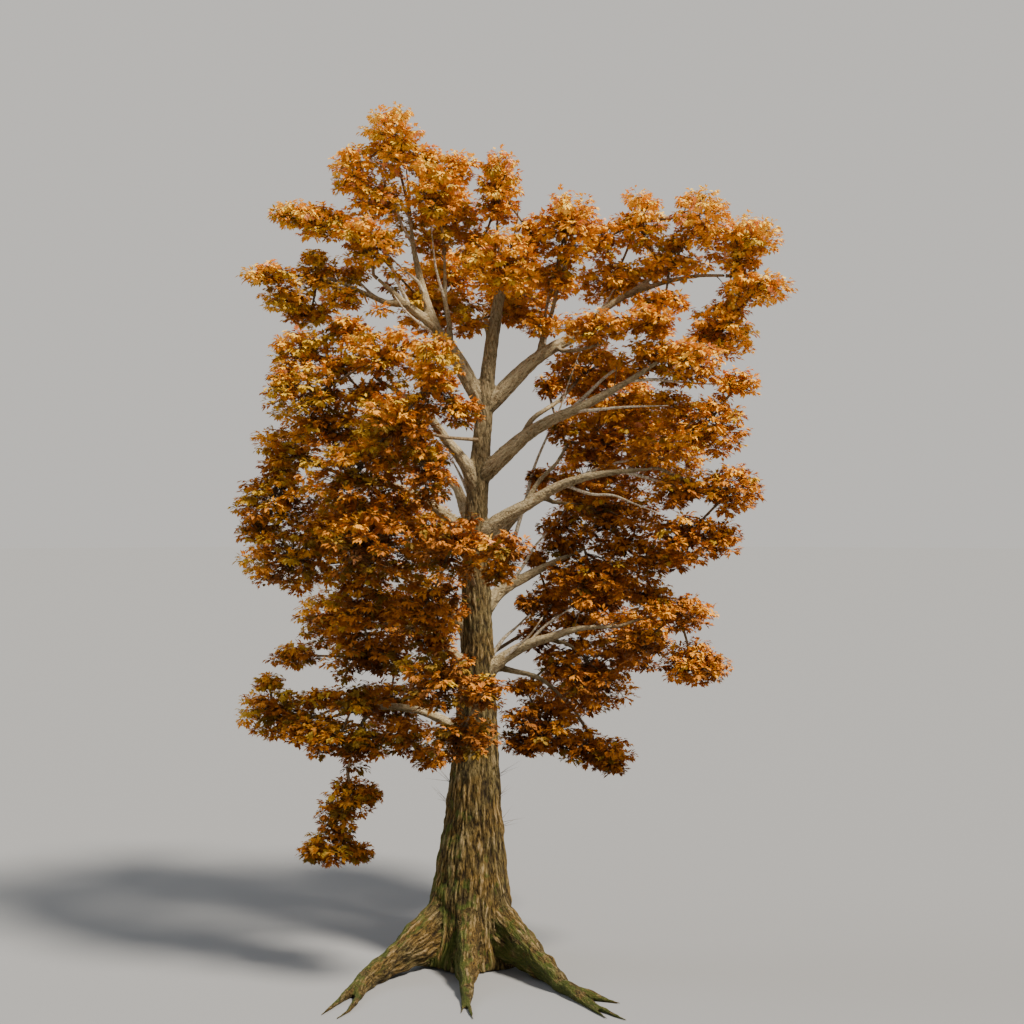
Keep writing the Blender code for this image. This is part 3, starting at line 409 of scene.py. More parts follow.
class LimbKind(Enum):
    """What a limb is, which sets how its bark looks."""

    TRUNK = "trunk"
    ROOT = "root"
    BOUGH = "bough"


@dataclass
class Limb:
    """One tapering limb: a smooth row of points, four numbers each, the last of them the radius."""

    name: str
    kind: LimbKind
    rows: np.ndarray

    @property
    def points(self) -> np.ndarray:
        """The middles of the limb's rings."""
        return self.rows[:, :3]

    @property
    def radii(self) -> np.ndarray:
        """The radius at each of the points."""
        return self.rows[:, 3]


def heading(azimuth: float, pitch: float) -> Vector:
    """The unit vector of an azimuth from +X and a pitch above level, both in degrees."""
    azimuth = math.radians(azimuth)
    pitch = math.radians(pitch)
    flat = math.cos(pitch)
    return Vector((flat * math.cos(azimuth), flat * math.sin(azimuth), math.sin(pitch)))


def unit_rows(rows: np.ndarray) -> np.ndarray:
    """The rows, each scaled to a length of one."""
    return rows / np.maximum(np.linalg.norm(rows, axis=-1, keepdims=True), NEARLY_NOTHING)


def row_dots(first: np.ndarray, second: np.ndarray) -> np.ndarray:
    """The dot product of each pair of rows."""
    return (first * second).sum(-1)


def smooth_rows(rows: np.ndarray, spacing: float) -> np.ndarray:
    """Reads a smooth curve through the given rows.

    Args:
        rows: Points, three numbers each, with any further numbers to be smoothed along with them.
        spacing: The distance wanted between two points.

    Returns:
        The denser rows, which pass through the given ones.
    """
    ends = np.vstack([2 * rows[0] - rows[1], rows, 2 * rows[-1] - rows[-2]])
    made = []
    for before, start, end, after in zip(ends, ends[1:], ends[2:], ends[3:]):
        steps = max(1, round(float(np.linalg.norm((end - start)[:3])) / spacing))
        share = np.arange(steps)[:, None] / steps
        cubic = (3 * start - before - 3 * end + after) * share**3
        square = (2 * before - 5 * start + 4 * end - after) * share**2
        made.append(0.5 * (2 * start + (end - before) * share + square + cubic))
    made.append(rows[-1:])
    return np.vstack(made)


def tapering_rows(points: Sequence[Vector], radii: Sequence[float], spacing: float) -> np.ndarray:
    """A smooth row of points with a radius each."""
    return smooth_rows(np.column_stack([np.array(points), radii]), spacing)


def vector_rows(vectors: Iterable[Vector]) -> np.ndarray:
    """One row of numbers for each vector."""
    return np.array([vector[:] for vector in vectors])


def length_of(path: Sequence[Vector]) -> float:
    """The length of a path of straight spans."""
    return sum((b - a).length for a, b in zip(path, path[1:]))


def nearest_place(places: Sequence[Vector], target: Vector) -> Vector:
    """The one of the places that is nearest to the target."""
    return min(places, key=lambda place: (place - target).length)


def trunk_centre(height: float) -> Vector:
    """The middle of the trunk at a height above the ground."""
    sweep = SWEEP * max(0.0, height - SWEEP_FROM) ** 2
    bow = BOW * math.exp(-(((height - BOW_HEIGHT) / BOW_LENGTH) ** 2))
    return Vector((LEAN * height + sweep - bow, WANDER * math.sin(WANDER_RATE * height), height))


def trunk_radius(height: float) -> float:
    """The trunk's radius at a height, with its flare."""
    cone = TRUNK_TOP_RADIUS + TRUNK_TAPER * (TRUNK_HEIGHT - height)
    return cone + FLARE_RADIUS * math.exp(-height / FLARE_HEIGHT)


def even_directions(count: int, rng: random.Random) -> Iterator[Vector]:
    """Directions spread evenly over a ball, started at a random turn.

    Args:
        count: How many directions there are.
        rng: Draws the first turn.

    Returns:
        An iterator over unit vectors.
    """
    start = rng.uniform(0, 2 * math.pi)
    for number in range(count):
        height = 1 - (2 * number + 1) / count
        flat = math.sqrt(1 - height * height)
        turn = start + number * GOLDEN_ANGLE
        yield Vector((flat * math.cos(turn), flat * math.sin(turn), height))


def bent_twig(start: Vector, end: Vector, lead: Vector | None, rng: random.Random) -> list[Vector]:
    """Points of a twig that sets out along lead and then curves to its end.

    Args:
        start: Its foot.
        end: Its tip.
        lead: The way it sets out, or None for straight towards its tip.
        rng: Draws how far it bends.

    Returns:
        Three or four points.
    """
    span = (end - start).length
    elbow = start.lerp(end, TWIG_ELBOW)
    elbow += Vector([rng.uniform(-TWIG_BEND, TWIG_BEND) for _ in range(3)]) * span
    if lead is None:
        return [start, elbow, end]
    return [start, start + lead * min(STEM_LEAD, span / 4), elbow, end]


def point_along(path: Sequence[Vector], share: float) -> Vector:
    """Finds a point along a path of straight spans.

    Args:
        path: The path's points.
        share: The share of its length, from 0 to 1.

    Returns:
        The point.
    """
    spans = [(b - a).length for a, b in zip(path, path[1:])]
    left = share * sum(spans)
    for start, end, span in zip(path, path[1:], spans):
        if left <= span:
            return start.lerp(end, left / span)
        left -= span
    return path[-1].copy()


@dataclass
class TreePlan:
    """The lines of the trunk, roots, boughs and stems, worked out as in the solids."""

    trunk_rings: int = 64
    spacing: float = 0.3
    stem_spacing: float = 0.15
    stem_foot_radius: float = 0.05
    stem_radius: float = 0.034
    stem_end_radius: float = 0.022
    thin_tip_radius: float = 0.012
    brace_height: float = 1.5  # where a root's ridge starts on the trunk
    brace_depth: float = 0.3
    brace_radius: float = 0.6  # of the root's own
    brace_end: int = 4  # the point of the root where its ridge ends
    tip_thinning: tuple[float, ...] = (1.0, 0.85, 0.72)  # how much of its radius a root keeps near its tip
    limbs: list[Limb] = field(default_factory=list)
    bough_paths: dict[str, list[Vector]] = field(default_factory=dict)
    stems: dict[str, list[np.ndarray]] = field(default_factory=dict)
    side_branches: list[np.ndarray] = field(default_factory=list)

    def draw(self) -> None:
        """Plans every limb, the stems that lead into the masses of leaves, and the thin side branches."""
        self.limbs = [self.plan_trunk(), *self.plan_roots(), *self.plan_boughs()]
        self.stems = self.plan_stems()
        self.add_filler_stems()
        rng = random.Random(SEED + 3)
        for branch in SIDE_BRANCHES:
            points = self.bough_points(branch, rng)
            radii = np.linspace(branch.radius, self.thin_tip_radius, len(points))
            self.side_branches.append(tapering_rows(points, radii, self.stem_spacing))

    def plan_trunk(self) -> Limb:
        """The trunk's line, from the ground to its top."""
        heights = np.linspace(0, TRUNK_HEIGHT, self.trunk_rings)
        rows = [(*trunk_centre(height), trunk_radius(height)) for height in heights]
        return Limb("trunk", LimbKind.TRUNK, np.array(rows))

    def plan_roots(self) -> Iterator[Limb]:
        """The surface roots, each chain a root and the side roots that leave it."""
        for name, chain in ROOT_CHAINS.items():
            main_path: list[Vector] = []
            for number, root in enumerate(chain):
                begin = Vector((0.0, 0.0, 0.0))
                if number:
                    begin = main_path[round(root.start * (ROOT_POINTS - 1))].copy()
                    begin.z = 0.0
                path, radii = self.root_path(root, begin)
                main_path = main_path or path
                rows = np.array([(*point, radius) for point, radius in zip(path, radii)])
                rows[-len(self.tip_thinning):, 2:] *= np.array(self.tip_thinning)[:, None]
                yield Limb(f"root_{name}_{number}", LimbKind.ROOT, smooth_rows(rows, self.spacing))
                if not number:
                    yield self.brace(name, root, rows)

    def brace(self, name: str, root: Root, rows: np.ndarray) -> Limb:
        """The ridge that slopes down from the trunk onto a root.

        Args:
            name: The root's name.
            root: Its plan.
            rows: Its points and radii.

        Returns:
            The ridge, as a limb.
        """
        start = trunk_centre(self.brace_height)
        start += heading(root.leave, 0) * (trunk_radius(self.brace_height) - self.brace_depth)
        end = rows[self.brace_end]
        between = rows[self.brace_end - 2]
        top = (*start, self.brace_radius * root.radius)
        middle = (between + top) / 2
        return Limb(f"brace_{name}", LimbKind.ROOT, smooth_rows(np.array([top, middle, end]), self.spacing))

    def root_path(self, root: Root, begin: Vector) -> tuple[list[Vector], list[float]]:
        """Points along a root over the ground, with the radius at each.

        Args:
            root: The root's plan.
            begin: Where it starts, on the ground.

        Returns:
            The points and the radii.
        """
        tip = Vector((*root.tip, 0.0))
        handle = HANDLE * (tip - begin).length
        near_bend = begin + heading(root.leave, 0) * handle
        far_bend = tip - heading(root.arrive, 0) * handle
        path = interpolate_bezier(begin, near_bend, far_bend, tip, ROOT_POINTS)
        radii = []
        for step, point in enumerate(path):
            left = 1 - step / (ROOT_POINTS - 1)
            radius = root.radius * left**ROOT_TAPER + ROOT_TIP_RADIUS
            shoulder = ROOT_SHOULDER * left**4 if root.start == 0 else 0.0
            point.z = ROOT_SUNK * radius + shoulder
            radii.append(radius)
        return path, radii

    def plan_boughs(self) -> Iterator[Limb]:
        """The boughs and branches, a little crooked on their way."""
        rng = random.Random(SEED)
        for name, bough in BOUGHS.items():
            points = self.bough_points(bough, rng)
            self.bough_paths[name] = points
            radii = self.bough_radii(bough, len(points))
            yield Limb(name, LimbKind.BOUGH, tapering_rows(points, radii, self.spacing))

    def bough_points(self, bough: Bough, rng: random.Random) -> list[Vector]:
        """A bough's points, from the middle of what carries it to its tip.

        Args:
            bough: The bough's plan.
            rng: Draws how crooked it is.

        Returns:
            The points.
        """
        if bough.parent == "trunk":
            foot = trunk_centre(bough.at)
        else:
            foot = point_along(self.bough_paths[bough.parent], bough.at)
        tip = Vector(bough.tip)
        span = (tip - foot).length
        azimuth = math.degrees(math.atan2(tip.y - foot.y, tip.x - foot.x))
        near_bend = foot + heading(azimuth, bough.leave) * HANDLE * span
        far_bend = tip - heading(azimuth, bough.arrive) * HANDLE * span
        count = max(BOUGH_FEWEST_POINTS, round(span / BOUGH_SPACING) + 1)
        points = interpolate_bezier(foot, near_bend, far_bend, tip, count)
        for point in points[1:-2]:
            point += Vector([rng.uniform(-KINK, KINK) for _ in range(3)]) * math.sqrt(span)
        return points

    def bough_radii(self, bough: Bough, count: int) -> list[float]:
        """Radii that taper from a collar at the foot to the tip.

        Args:
            bough: The bough's plan.
            count: How many points it has.

        Returns:
            The radius at each point.
        """
        radii = []
        for step in range(count):
            along = step / (count - 1)
            radius = BRANCH_TIP_RADIUS + (bough.radius - BRANCH_TIP_RADIUS) * (1 - along) ** BOUGH_TAPER
            radii.append(radius + BOUGH_COLLAR * bough.radius * max(0.0, 1 - along / COLLAR_REACH))
        if bough.parent == "trunk":
            radii[0] = min(radii[0], COLLAR_LIMIT * trunk_radius(bough.at))
        return radii

    def plan_stems(self) -> dict[str, list[np.ndarray]]:
        """For each mass, a stem to its first clump and on from clump to clump, as rows with radii."""
        rng = random.Random(SEED + 1)
        stems: dict[str, list[np.ndarray]] = {}
        for name, clumps in MASSES.items():
            foot, lead = self.stem_foot(name)
            stems[name] = []
            reached: list[Vector] = []
            for clump in clumps:
                start, way, radius = foot, lead, self.stem_foot_radius
                if reached:
                    start, way, radius = nearest_place(reached, clump.centre), None, self.stem_radius
                stems[name].append(self.stem(bent_twig(start, clump.centre, way, rng), radius))
                reached.append(clump.centre)
        return stems

    def add_filler_stems(self) -> None:
        """For each filler clump, a stem from the nearest clump's middle in its mass."""
        rng = random.Random(SEED + 4)
        for name, fillers in FILLERS.items():
            reached = [clump.centre for clump in MASSES[name]]
            for clump in fillers:
                twig = bent_twig(nearest_place(reached, clump.centre), clump.centre, None, rng)
                self.stems[name].append(self.stem(twig, self.stem_radius))
                reached.append(clump.centre)

    def stem(self, points: list[Vector], radius: float) -> np.ndarray:
        """A stem's rows, from a radius at its foot to its thin end."""
        radii = np.linspace(radius, self.stem_end_radius, len(points))
        return tapering_rows(points, radii, self.stem_spacing)

    def stem_foot(self, mass: str) -> tuple[Vector, Vector | None]:
        """Where a mass's stem starts: on the trunk, or at the tip of the limb of the same name.

        Args:
            mass: The mass's name.

        Returns:
            Its foot, and the way it leaves a limb's tip or the trunk's top, or None at the trunk's side.
        """
        height = ON_TRUNK.get(mass)
        if height is None:
            name = mass.partition("_")[2]
            path = next(path for limb, path in self.bough_paths.items() if limb.partition("_")[2] == name)
            below, top = path[-2:]
        elif height == TRUNK_HEIGHT:
            below, top = trunk_centre(TRUNK_HEIGHT - 1), trunk_centre(TRUNK_HEIGHT)
        else:
            return trunk_centre(height), None
        return top, (top - below).normalized()


@dataclass
class LimbField:
    """Finds, for points near the limbs, where they are on the nearest one."""

    limbs: list[Limb]
    cell_width: float = 0.12  # of a bark plate, on a limb of one metre radius
    cell_power: float = 0.5
    stretch: float = 6.5  # a plate's length over its width
    pale_from: float = 2.0  # height at which the trunk's bark starts to pale
    pale_rise: float = 13.0
    pale_trunk: float = 0.75
    pale_along: float = 0.6  # metres from its foot in which a bough pales
    limb_offset: float = 7.3  # plates between one limb's grain and the next one's
    chunk: int = 4000  # points that are worked out together

    def __post_init__(self) -> None:
        """Lists every stretch of every limb."""
        stretches = [self.stretches(number, limb) for number, limb in enumerate(self.limbs)]
        joined = [np.concatenate(column) for column in zip(*stretches)]
        self.starts, self.spans, self.radii, self.sides, self.ways = joined[:5]
        self.alongs, self.pales, self.owners = joined[5:]

    def cell(self, radius: np.ndarray) -> np.ndarray:
        """The width of a bark plate on a limb of that radius."""
        return self.cell_width * radius**self.cell_power

    def stretches(self, number: int, limb: Limb) -> list[np.ndarray]:
        """Lists the stretches between a limb's points.

        Args:
            number: The limb's number.
            limb: The limb.

        Returns:
            Where they start, their spans, then pairs of values at their two ends, which are the radius, the
            side that the grain is counted from, the direction, the place along the grain and the paleness,
            and last the limb's number.
        """
        points, thick = limb.points, limb.radii
        ways = unit_rows(np.gradient(points, axis=0))
        side = LIMB_SIDE
        sides = []
        for way in ways:
            side = unit_rows(side - way * (side @ way))
            sides.append(side)
        spans = np.diff(points, axis=0)
        lengths = np.linalg.norm(spans, axis=1)
        cells = self.cell(thick)
        steps = lengths / (self.stretch * 0.5 * (cells[1:] + cells[:-1]))
        along = self.limb_offset * number + np.concatenate([[0], np.cumsum(steps)])
        pale = self.paleness(limb, np.concatenate([[0], np.cumsum(lengths)]))
        changing = (thick, np.array(sides), ways, along, pale)
        pairs = [np.stack([row[:-1], row[1:]], axis=1) for row in changing]
        return [points[:-1], spans, *pairs, np.full(len(spans), number)]

    def paleness(self, limb: Limb, along: np.ndarray) -> np.ndarray:
        """How pale the bark is: dark at the foot of the trunk, pale far out on a bough.

        Args:
            limb: The limb.
            along: How far along it each of its points lies.

        Returns:
            The paleness at each point, from 0 to 1.
        """
        if limb.kind is LimbKind.ROOT:
            return np.zeros(len(along))
        height = np.clip((limb.points[:, 2] - self.pale_from) / self.pale_rise, 0, 1) * self.pale_trunk
        if limb.kind is LimbKind.TRUNK:
            return height
        return height + (1 - height) * np.clip(along / self.pale_along, 0, 1)

    def nearest(self, places: np.ndarray) -> tuple[np.ndarray, np.ndarray, np.ndarray]:
        """Finds the limb whose surface is nearest, and the nearest place on its middle line.

        Args:
            places: Points, three numbers each.

        Returns:
            The number of the stretch of limb, the share of the way along it, and how far the point is
            outside the surface.
        """
        found, shares, depths = [], [], []
        lengths = np.maximum((self.spans**2).sum(1), NEARLY_NOTHING)
        for first in range(0, len(places), self.chunk):
            offsets = places[first:first + self.chunk, None] - self.starts
            share = np.clip(np.einsum("psk,sk->ps", offsets, self.spans) / lengths, 0, 1)
            away = np.linalg.norm(offsets - share[..., None] * self.spans, axis=2)
            depth = away - (self.radii[:, 0] + share * (self.radii[:, 1] - self.radii[:, 0]))
            rows = np.arange(len(depth))
            owner = self.owners[depth.argmin(1)]
            away[self.owners != owner[:, None]] = np.inf
            best = away.argmin(1)
            found.append(best)
            shares.append(share[rows, best])
            depths.append(depth.min(1))
        return np.concatenate(found), np.concatenate(shares), np.concatenate(depths)

    def bark_places(self, places: np.ndarray) -> "BarkPlaces":
        """Finds where points on the bark lie in its grain.

        Args:
            places: The points.

        Returns:
            Their places in the grain, and what is known of the limb there.
        """
        found, share, _ = self.nearest(places)
        offsets = places - self.starts[found] - share[:, None] * self.spans[found]

        def between(pair: np.ndarray) -> np.ndarray:
            """The value at each point, between the two ends of its stretch."""
            along = share[:, None] if pair.ndim == 3 else share
            return pair[found, 0] + along * (pair[found, 1] - pair[found, 0])

        radius, sides, ways = between(self.radii), between(self.sides), between(self.ways)
        along, pale = between(self.alongs), between(self.pales)
        ways = unit_rows(ways)
        sides = unit_rows(sides - ways * row_dots(sides, ways)[:, None])
        others = np.cross(ways, sides)
        cells = self.cell(radius)
        grain = np.column_stack([row_dots(offsets, sides) / cells, row_dots(offsets, others) / cells, along])
        return BarkPlaces(grain, radius, pale, self.owners[found])


@dataclass
class BarkPlaces:
    """For points on the bark: the place in the grain counted in plates, the radius, paleness and limb."""

    grain: np.ndarray
    radius: np.ndarray
    pale: np.ndarray
    owner: np.ndarray


class Value:
    """A number socket of a material, on which Python's arithmetic adds Math nodes."""

    def __init__(self, nodes: "Nodes", socket: bpy.types.NodeSocket) -> None:
        """Wraps an output socket of one of the material's nodes."""
        self.nodes = nodes
        self.socket = socket

    def math(self, operation: str, *terms: "Value | float") -> "Value":
        """Adds a Math node over the terms."""
        return self.nodes.node("ShaderNodeMath", {"operation": operation}, dict(enumerate(terms)))

    def __add__(self, other: "Value | float") -> "Value":
        """The sum."""
        return self.math("ADD", self, other)

    def __sub__(self, other: "Value | float") -> "Value":
        """The difference."""
        return self.math("SUBTRACT", self, other)

    def __rsub__(self, other: float) -> "Value":
        """A number less this value."""
        return self.math("SUBTRACT", other, self)

    def __mul__(self, other: "Value | float") -> "Value":
        """The product."""
        return self.math("MULTIPLY", self, other)

    __radd__ = __add__
    __rmul__ = __mul__

    def math_abs(self) -> "Value":
        """The size of the value without its sign."""
        return self.math("ABSOLUTE", self)

    def ramp(self, low: float, high: float) -> "Value":
        """A smooth step, 0 up to the low value and 1 from the high one on."""
        settings = {"interpolation_type": "SMOOTHSTEP"}
        values = {"Value": self, "From Min": low, "From Max": high}
        return self.nodes.node("ShaderNodeMapRange", settings, values)


class Nodes:
    """Makes one material's nodes."""

    def __init__(self, name: str) -> None:
        """Starts a material of that name that has only its shader and output."""
        self.material = bpy.data.materials.new(name)
        self.material.use_nodes = True
        self.tree = self.material.node_tree
        self.shader = self.tree.nodes["Principled BSDF"]

    def connect(self, target: bpy.types.NodeSocket, value: object) -> None:
        """Links a wrapped value to an input socket, or sets a plain number or colour on it."""
        if isinstance(value, Value):
            self.tree.links.new(value.socket, target)
        else:
            target.default_value = value

    def node(
        self, kind: str, settings: dict | None = None, values: dict | None = None, output: int | str = 0
    ) -> Value:
        """Adds one node.

        Args:
            kind: The node's type.
            settings: Its properties, set before its sockets.
            values: Numbers, colours or links for its input sockets, by name or number.
            output: Which output socket is wanted.

        Returns:
            The wrapped output.
        """
        made = self.tree.nodes.new(kind)
        for name, setting in (settings or {}).items():
            setattr(made, name, setting)
        for socket, value in (values or {}).items():
            self.connect(made.inputs[socket], value)
        return Value(self, made.outputs[output])

    def attribute(self, name: str, output: str) -> Value:
        """One of the mesh's own attributes."""
        return self.node("ShaderNodeAttribute", {"attribute_name": name}, output=output)

    def places(self) -> Value:
        """Object coordinates."""
        return self.node("ShaderNodeTexCoord", output="Object")

    def noise(self, places: Value, scale: float, detail: float = 4.0) -> Value:
        """Fractal noise over the places, about 0 to 1."""
        return self.node("ShaderNodeTexNoise", {}, {"Vector": places, "Scale": scale, "Detail": detail})

    def mix(self, share: Value | float, first: object, second: object) -> Value:
        """A colour between two."""
        settings = {"data_type": "RGBA", "clamp_factor": True}
        return self.node("ShaderNodeMix", settings, {0: share, 6: first, 7: second}, output=2)

    def bump(self, height: Value, strength: float, distance: float) -> Value:
        """A bumped normal."""
        values = {"Height": height, "Strength": strength, "Distance": distance}
        return self.node("ShaderNodeBump", {}, values)

    def finish(self, **values: object) -> bpy.types.Material:
        """Sets the shader's sockets, with _ for a space in their names, and gives the material."""
        for name, value in values.items():
            self.connect(self.shader.inputs[name.replace("_", " ")], value)
        return self.material


def linear(level: int) -> float:
    """The linear brightness of a screen level from 0 to 255, by the sRGB curve."""
    share = level / 255
    return share / 12.92 if share <= 0.04045 else ((share + 0.055) / 1.055) ** 2.4


def colour(red: int, green: int, blue: int) -> tuple[float, float, float, float]:
    """The linear colour of a screen colour."""
    return (linear(red), linear(green), linear(blue), 1.0)


@dataclass(frozen=True)
class BarkFinish:
    """Furrowed grey-brown bark that pales out along the boughs, with mosses low down, and painted light and
    shade: darker furrows, paler ridge tops and limb tops, and green painted shade on the side away from the
    key light.
    """

    furrow: tuple = colour(38, 27, 9)
    ridge: tuple = colour(110, 95, 54)
    ridge_warm: tuple = colour(118, 92, 40)
    pale: tuple = colour(222, 200, 156)
    pale_furrow: tuple = colour(152, 122, 74)
    # The crest colour is a painted highlight on the tops of the ridges.
    crest: tuple = colour(184, 158, 120)
    moss: tuple = colour(68, 84, 26)
    roughness: float = 0.9
    specular: float = 0.25
    bump_depth: float = 0.035
    # Scale and detail of each noise: three along the grain, then three in place
    fine: Pair = (5.0, 6.0)
    cracks: Pair = (2.2, 5.0)
    streaks: Pair = (0.8, 5.0)
    speckles: Pair = (60.0, 3.0)
    patches: Pair = (1.7, 3.0)
    spots: Pair = (4.5, 4.0)
    # Over what range of its noise or height each look comes in
    lit_range: Pair = (-0.02, 0.75)
    young_range: Pair = (-0.2, 0.6)
    warm_range: Pair = (0.35, 0.65)
    crest_range: Pair = (0.55, 1.05)
    pale_range: Pair = (0.15, 1.0)
    dust_range: Pair = (0.35, 0.75)
    moss_range: Pair = (0.32, 0.62)
    # How much each of them counts
    fine_share: float = 0.7
    crack_share: float = 0.3
    crack_width: float = 0.07
    crest_share: float = 0.55
    patch_share: float = 0.5
    dust_share: float = 0.35
    moss_share: float = 0.65
    spot_share: float = 1.6
    streak_share: float = 1.2
    speckle_bump: float = 0.25

    def material(self) -> bpy.types.Material:
        """Makes the bark's material, which reads the grain, relief, pale and moss attributes."""
        nodes = Nodes("bark")
        grain = nodes.attribute("grain", "Vector")
        relief = nodes.attribute("relief", "Fac")
        pale = nodes.attribute("pale", "Fac")
        moss = nodes.attribute("moss", "Fac")
        places = nodes.places()
        fine = nodes.noise(grain, *self.fine)
        speckle = nodes.noise(places, *self.speckles)
        patches = nodes.noise(places, *self.patches)
        crack = (nodes.noise(grain, *self.cracks) - NOISE_MIDDLE).math_abs()
        open_crack = 1 - crack.ramp(0.0, self.crack_width)
        height = relief + (fine - NOISE_MIDDLE) * self.fine_share - open_crack * self.crack_share
        # Partly the bark's own colour and partly painted light and shade: the furrow colour low in the
        # relief, the ridge colour high.
        lit = height.ramp(*self.lit_range)
        lit_young = height.ramp(*self.young_range)
        ridge = nodes.mix(patches.ramp(*self.warm_range), self.ridge, self.ridge_warm)
        # Painted highlight: the paler crest colour on the ridges' tops.
        painted_crest_highlight = nodes.mix(height.ramp(*self.crest_range) * self.crest_share, ridge, self.crest)
        old_bark = nodes.mix(lit, self.furrow, painted_crest_highlight)
        young_bark = nodes.mix(lit_young, self.pale_furrow, self.pale)
        pale_share = (pale + (patches - NOISE_MIDDLE) * self.patch_share * pale).ramp(*self.pale_range)
        bark = nodes.mix(pale_share, old_bark, young_bark)
        dusted = nodes.mix(speckle.ramp(*self.dust_range) * self.dust_share, bark, self.furrow)
        streaks = nodes.noise(grain, *self.streaks) - NOISE_MIDDLE
        spots = nodes.noise(places, *self.spots) - NOISE_MIDDLE
        # The mosses' green, for mosses low down and as painted shade on the side away from the key light.
        moss_and_painted_shade_amount = moss + spots * self.spot_share + streaks * self.streak_share
        with_moss_and_painted_shade = nodes.mix(moss_and_painted_shade_amount.ramp(*self.moss_range) * self.moss_share, dusted, self.moss)
        bumps = height + speckle * self.speckle_bump
        return nodes.finish(
            Base_Color=with_moss_and_painted_shade,
            Roughness=self.roughness,
            Specular_IOR_Level=self.specular,
            Normal=nodes.bump(bumps, 1.0, self.bump_depth),
        )


@dataclass(frozen=True)
class TwigFinish:
    """Thin bark, plain but for a speckle."""

    name: str
    light: tuple
    dark: tuple
    slot: str = "bark"
    roughness: float = 0.8
    specular: float = 0.3
    speckles: Pair = (24.0, 4.0)  # scale and detail
    dark_range: Pair = (0.35, 0.65)
    bump_strength: float = 0.4
    bump_depth: float = 0.01

    @cache
    def material(self) -> bpy.types.Material:
        """Makes the material on Object coordinates, once."""
        nodes = Nodes(self.name)
        places = nodes.places()
        speckle = nodes.noise(places, *self.speckles)
        shade = nodes.mix(speckle.ramp(*self.dark_range), self.light, self.dark)
        return nodes.finish(
            Base_Color=shade,
            Roughness=self.roughness,
            Specular_IOR_Level=self.specular,
            Normal=nodes.bump(speckle, self.bump_strength, self.bump_depth),
        )


@dataclass(frozen=True)
class LeafFinish:
    """One tint of autumn leaf: where in the crown it is common, by the painted light and shade of its
    paleness, and the record's slot for it.
    """

    name: str
    shade: tuple
    slot: str
    paleness: float  # from 0, low and inside the crown in painted shade, to 1, on its sunny top in painted light
    share: float = 1.0  # how common it is among the tints as pale
    roughness: float = 0.65
    specular: float = 0.25

    @cache
    def material(self) -> bpy.types.Material:
        """Makes the tint's material, once for all its pieces."""
        nodes = Nodes("leaf_" + self.name)
        return nodes.finish(
            Base_Color=self.shade, Roughness=self.roughness, Specular_IOR_Level=self.specular
        )


SIDE_BRANCH_BARK = TwigFinish("side_branch_bark", colour(206, 194, 170), colour(140, 122, 94))
BRANCHLET_BARK = TwigFinish("branchlet_bark", colour(142, 120, 88), colour(90, 70, 46))
TWIG_BARK = TwigFinish("twig_bark", colour(104, 74, 44), colour(64, 44, 24))

LEAF_TINTS = (
    LeafFinish("brown", colour(98, 58, 20), "leaves_russet", 0.06),
    LeafFinish("russet", colour(142, 85, 28), "leaves_russet", 0.22),
    LeafFinish("olive_deep", colour(140, 106, 28), "leaves_olive", 0.3, 0.4),
    LeafFinish("russet_bright", colour(180, 109, 34), "leaves_russet", 0.38, 0.8),
    LeafFinish("amber_deep", colour(202, 130, 40), "leaves_amber", 0.48),
    LeafFinish("olive", colour(206, 164, 48), "leaves_olive", 0.62, 0.5),
    LeafFinish("amber", colour(228, 159, 46), "leaves_amber", 0.64),
    LeafFinish("amber_bright", colour(246, 184, 60), "leaves_amber", 0.78),
    # The pink tint is a painted highlight, dealt among the palest sprays.
    LeafFinish("painted_highlight_pink", colour(240, 170, 118), "leaves_gold", 0.84, 0.12),
    LeafFinish("gold", colour(252, 208, 84), "leaves_gold", 0.92),
)


def new_object(name: str, data: bpy.types.ID) -> bpy.types.Object:
    """Links a new object to the scene, at the origin."""
    made = bpy.data.objects.new(name, data)
    bpy.context.scene.collection.objects.link(made)
    return made


def new_piece(name: str, mesh: bpy.types.Mesh, material: bpy.types.Material) -> bpy.types.Object:
    """Makes an object of a finished mesh.

    Args:
        name: The piece's name.
        mesh: Its mesh.
        material: Its only material.

    Returns:
        The object.
    """
    mesh.name = name
    mesh.materials.clear()
    mesh.materials.append(material)
    log.info("%s: %d faces", name, len(mesh.polygons))
    return new_object(name, mesh)


def triangle_mesh(name: str, places: np.ndarray, triangles: np.ndarray) -> bpy.types.Mesh:
    """A mesh of many small things from arrays.

    Args:
        name: The mesh's name.
        places: Its points, three numbers each.
        triangles: Three point numbers for each face.

    Returns:
        The mesh.
    """
    mesh = bpy.data.meshes.new(name)
    mesh.vertices.add(len(places))
    mesh.vertices.foreach_set("co", places.astype(np.float32).ravel())
    mesh.loops.add(triangles.size)
    mesh.loops.foreach_set("vertex_index", triangles.astype(np.int32).ravel())
    mesh.polygons.add(len(triangles))
    mesh.polygons.foreach_set("loop_start", np.arange(0, triangles.size, 3, dtype=np.int32))
    mesh.update(calc_edges=True)
    return mesh


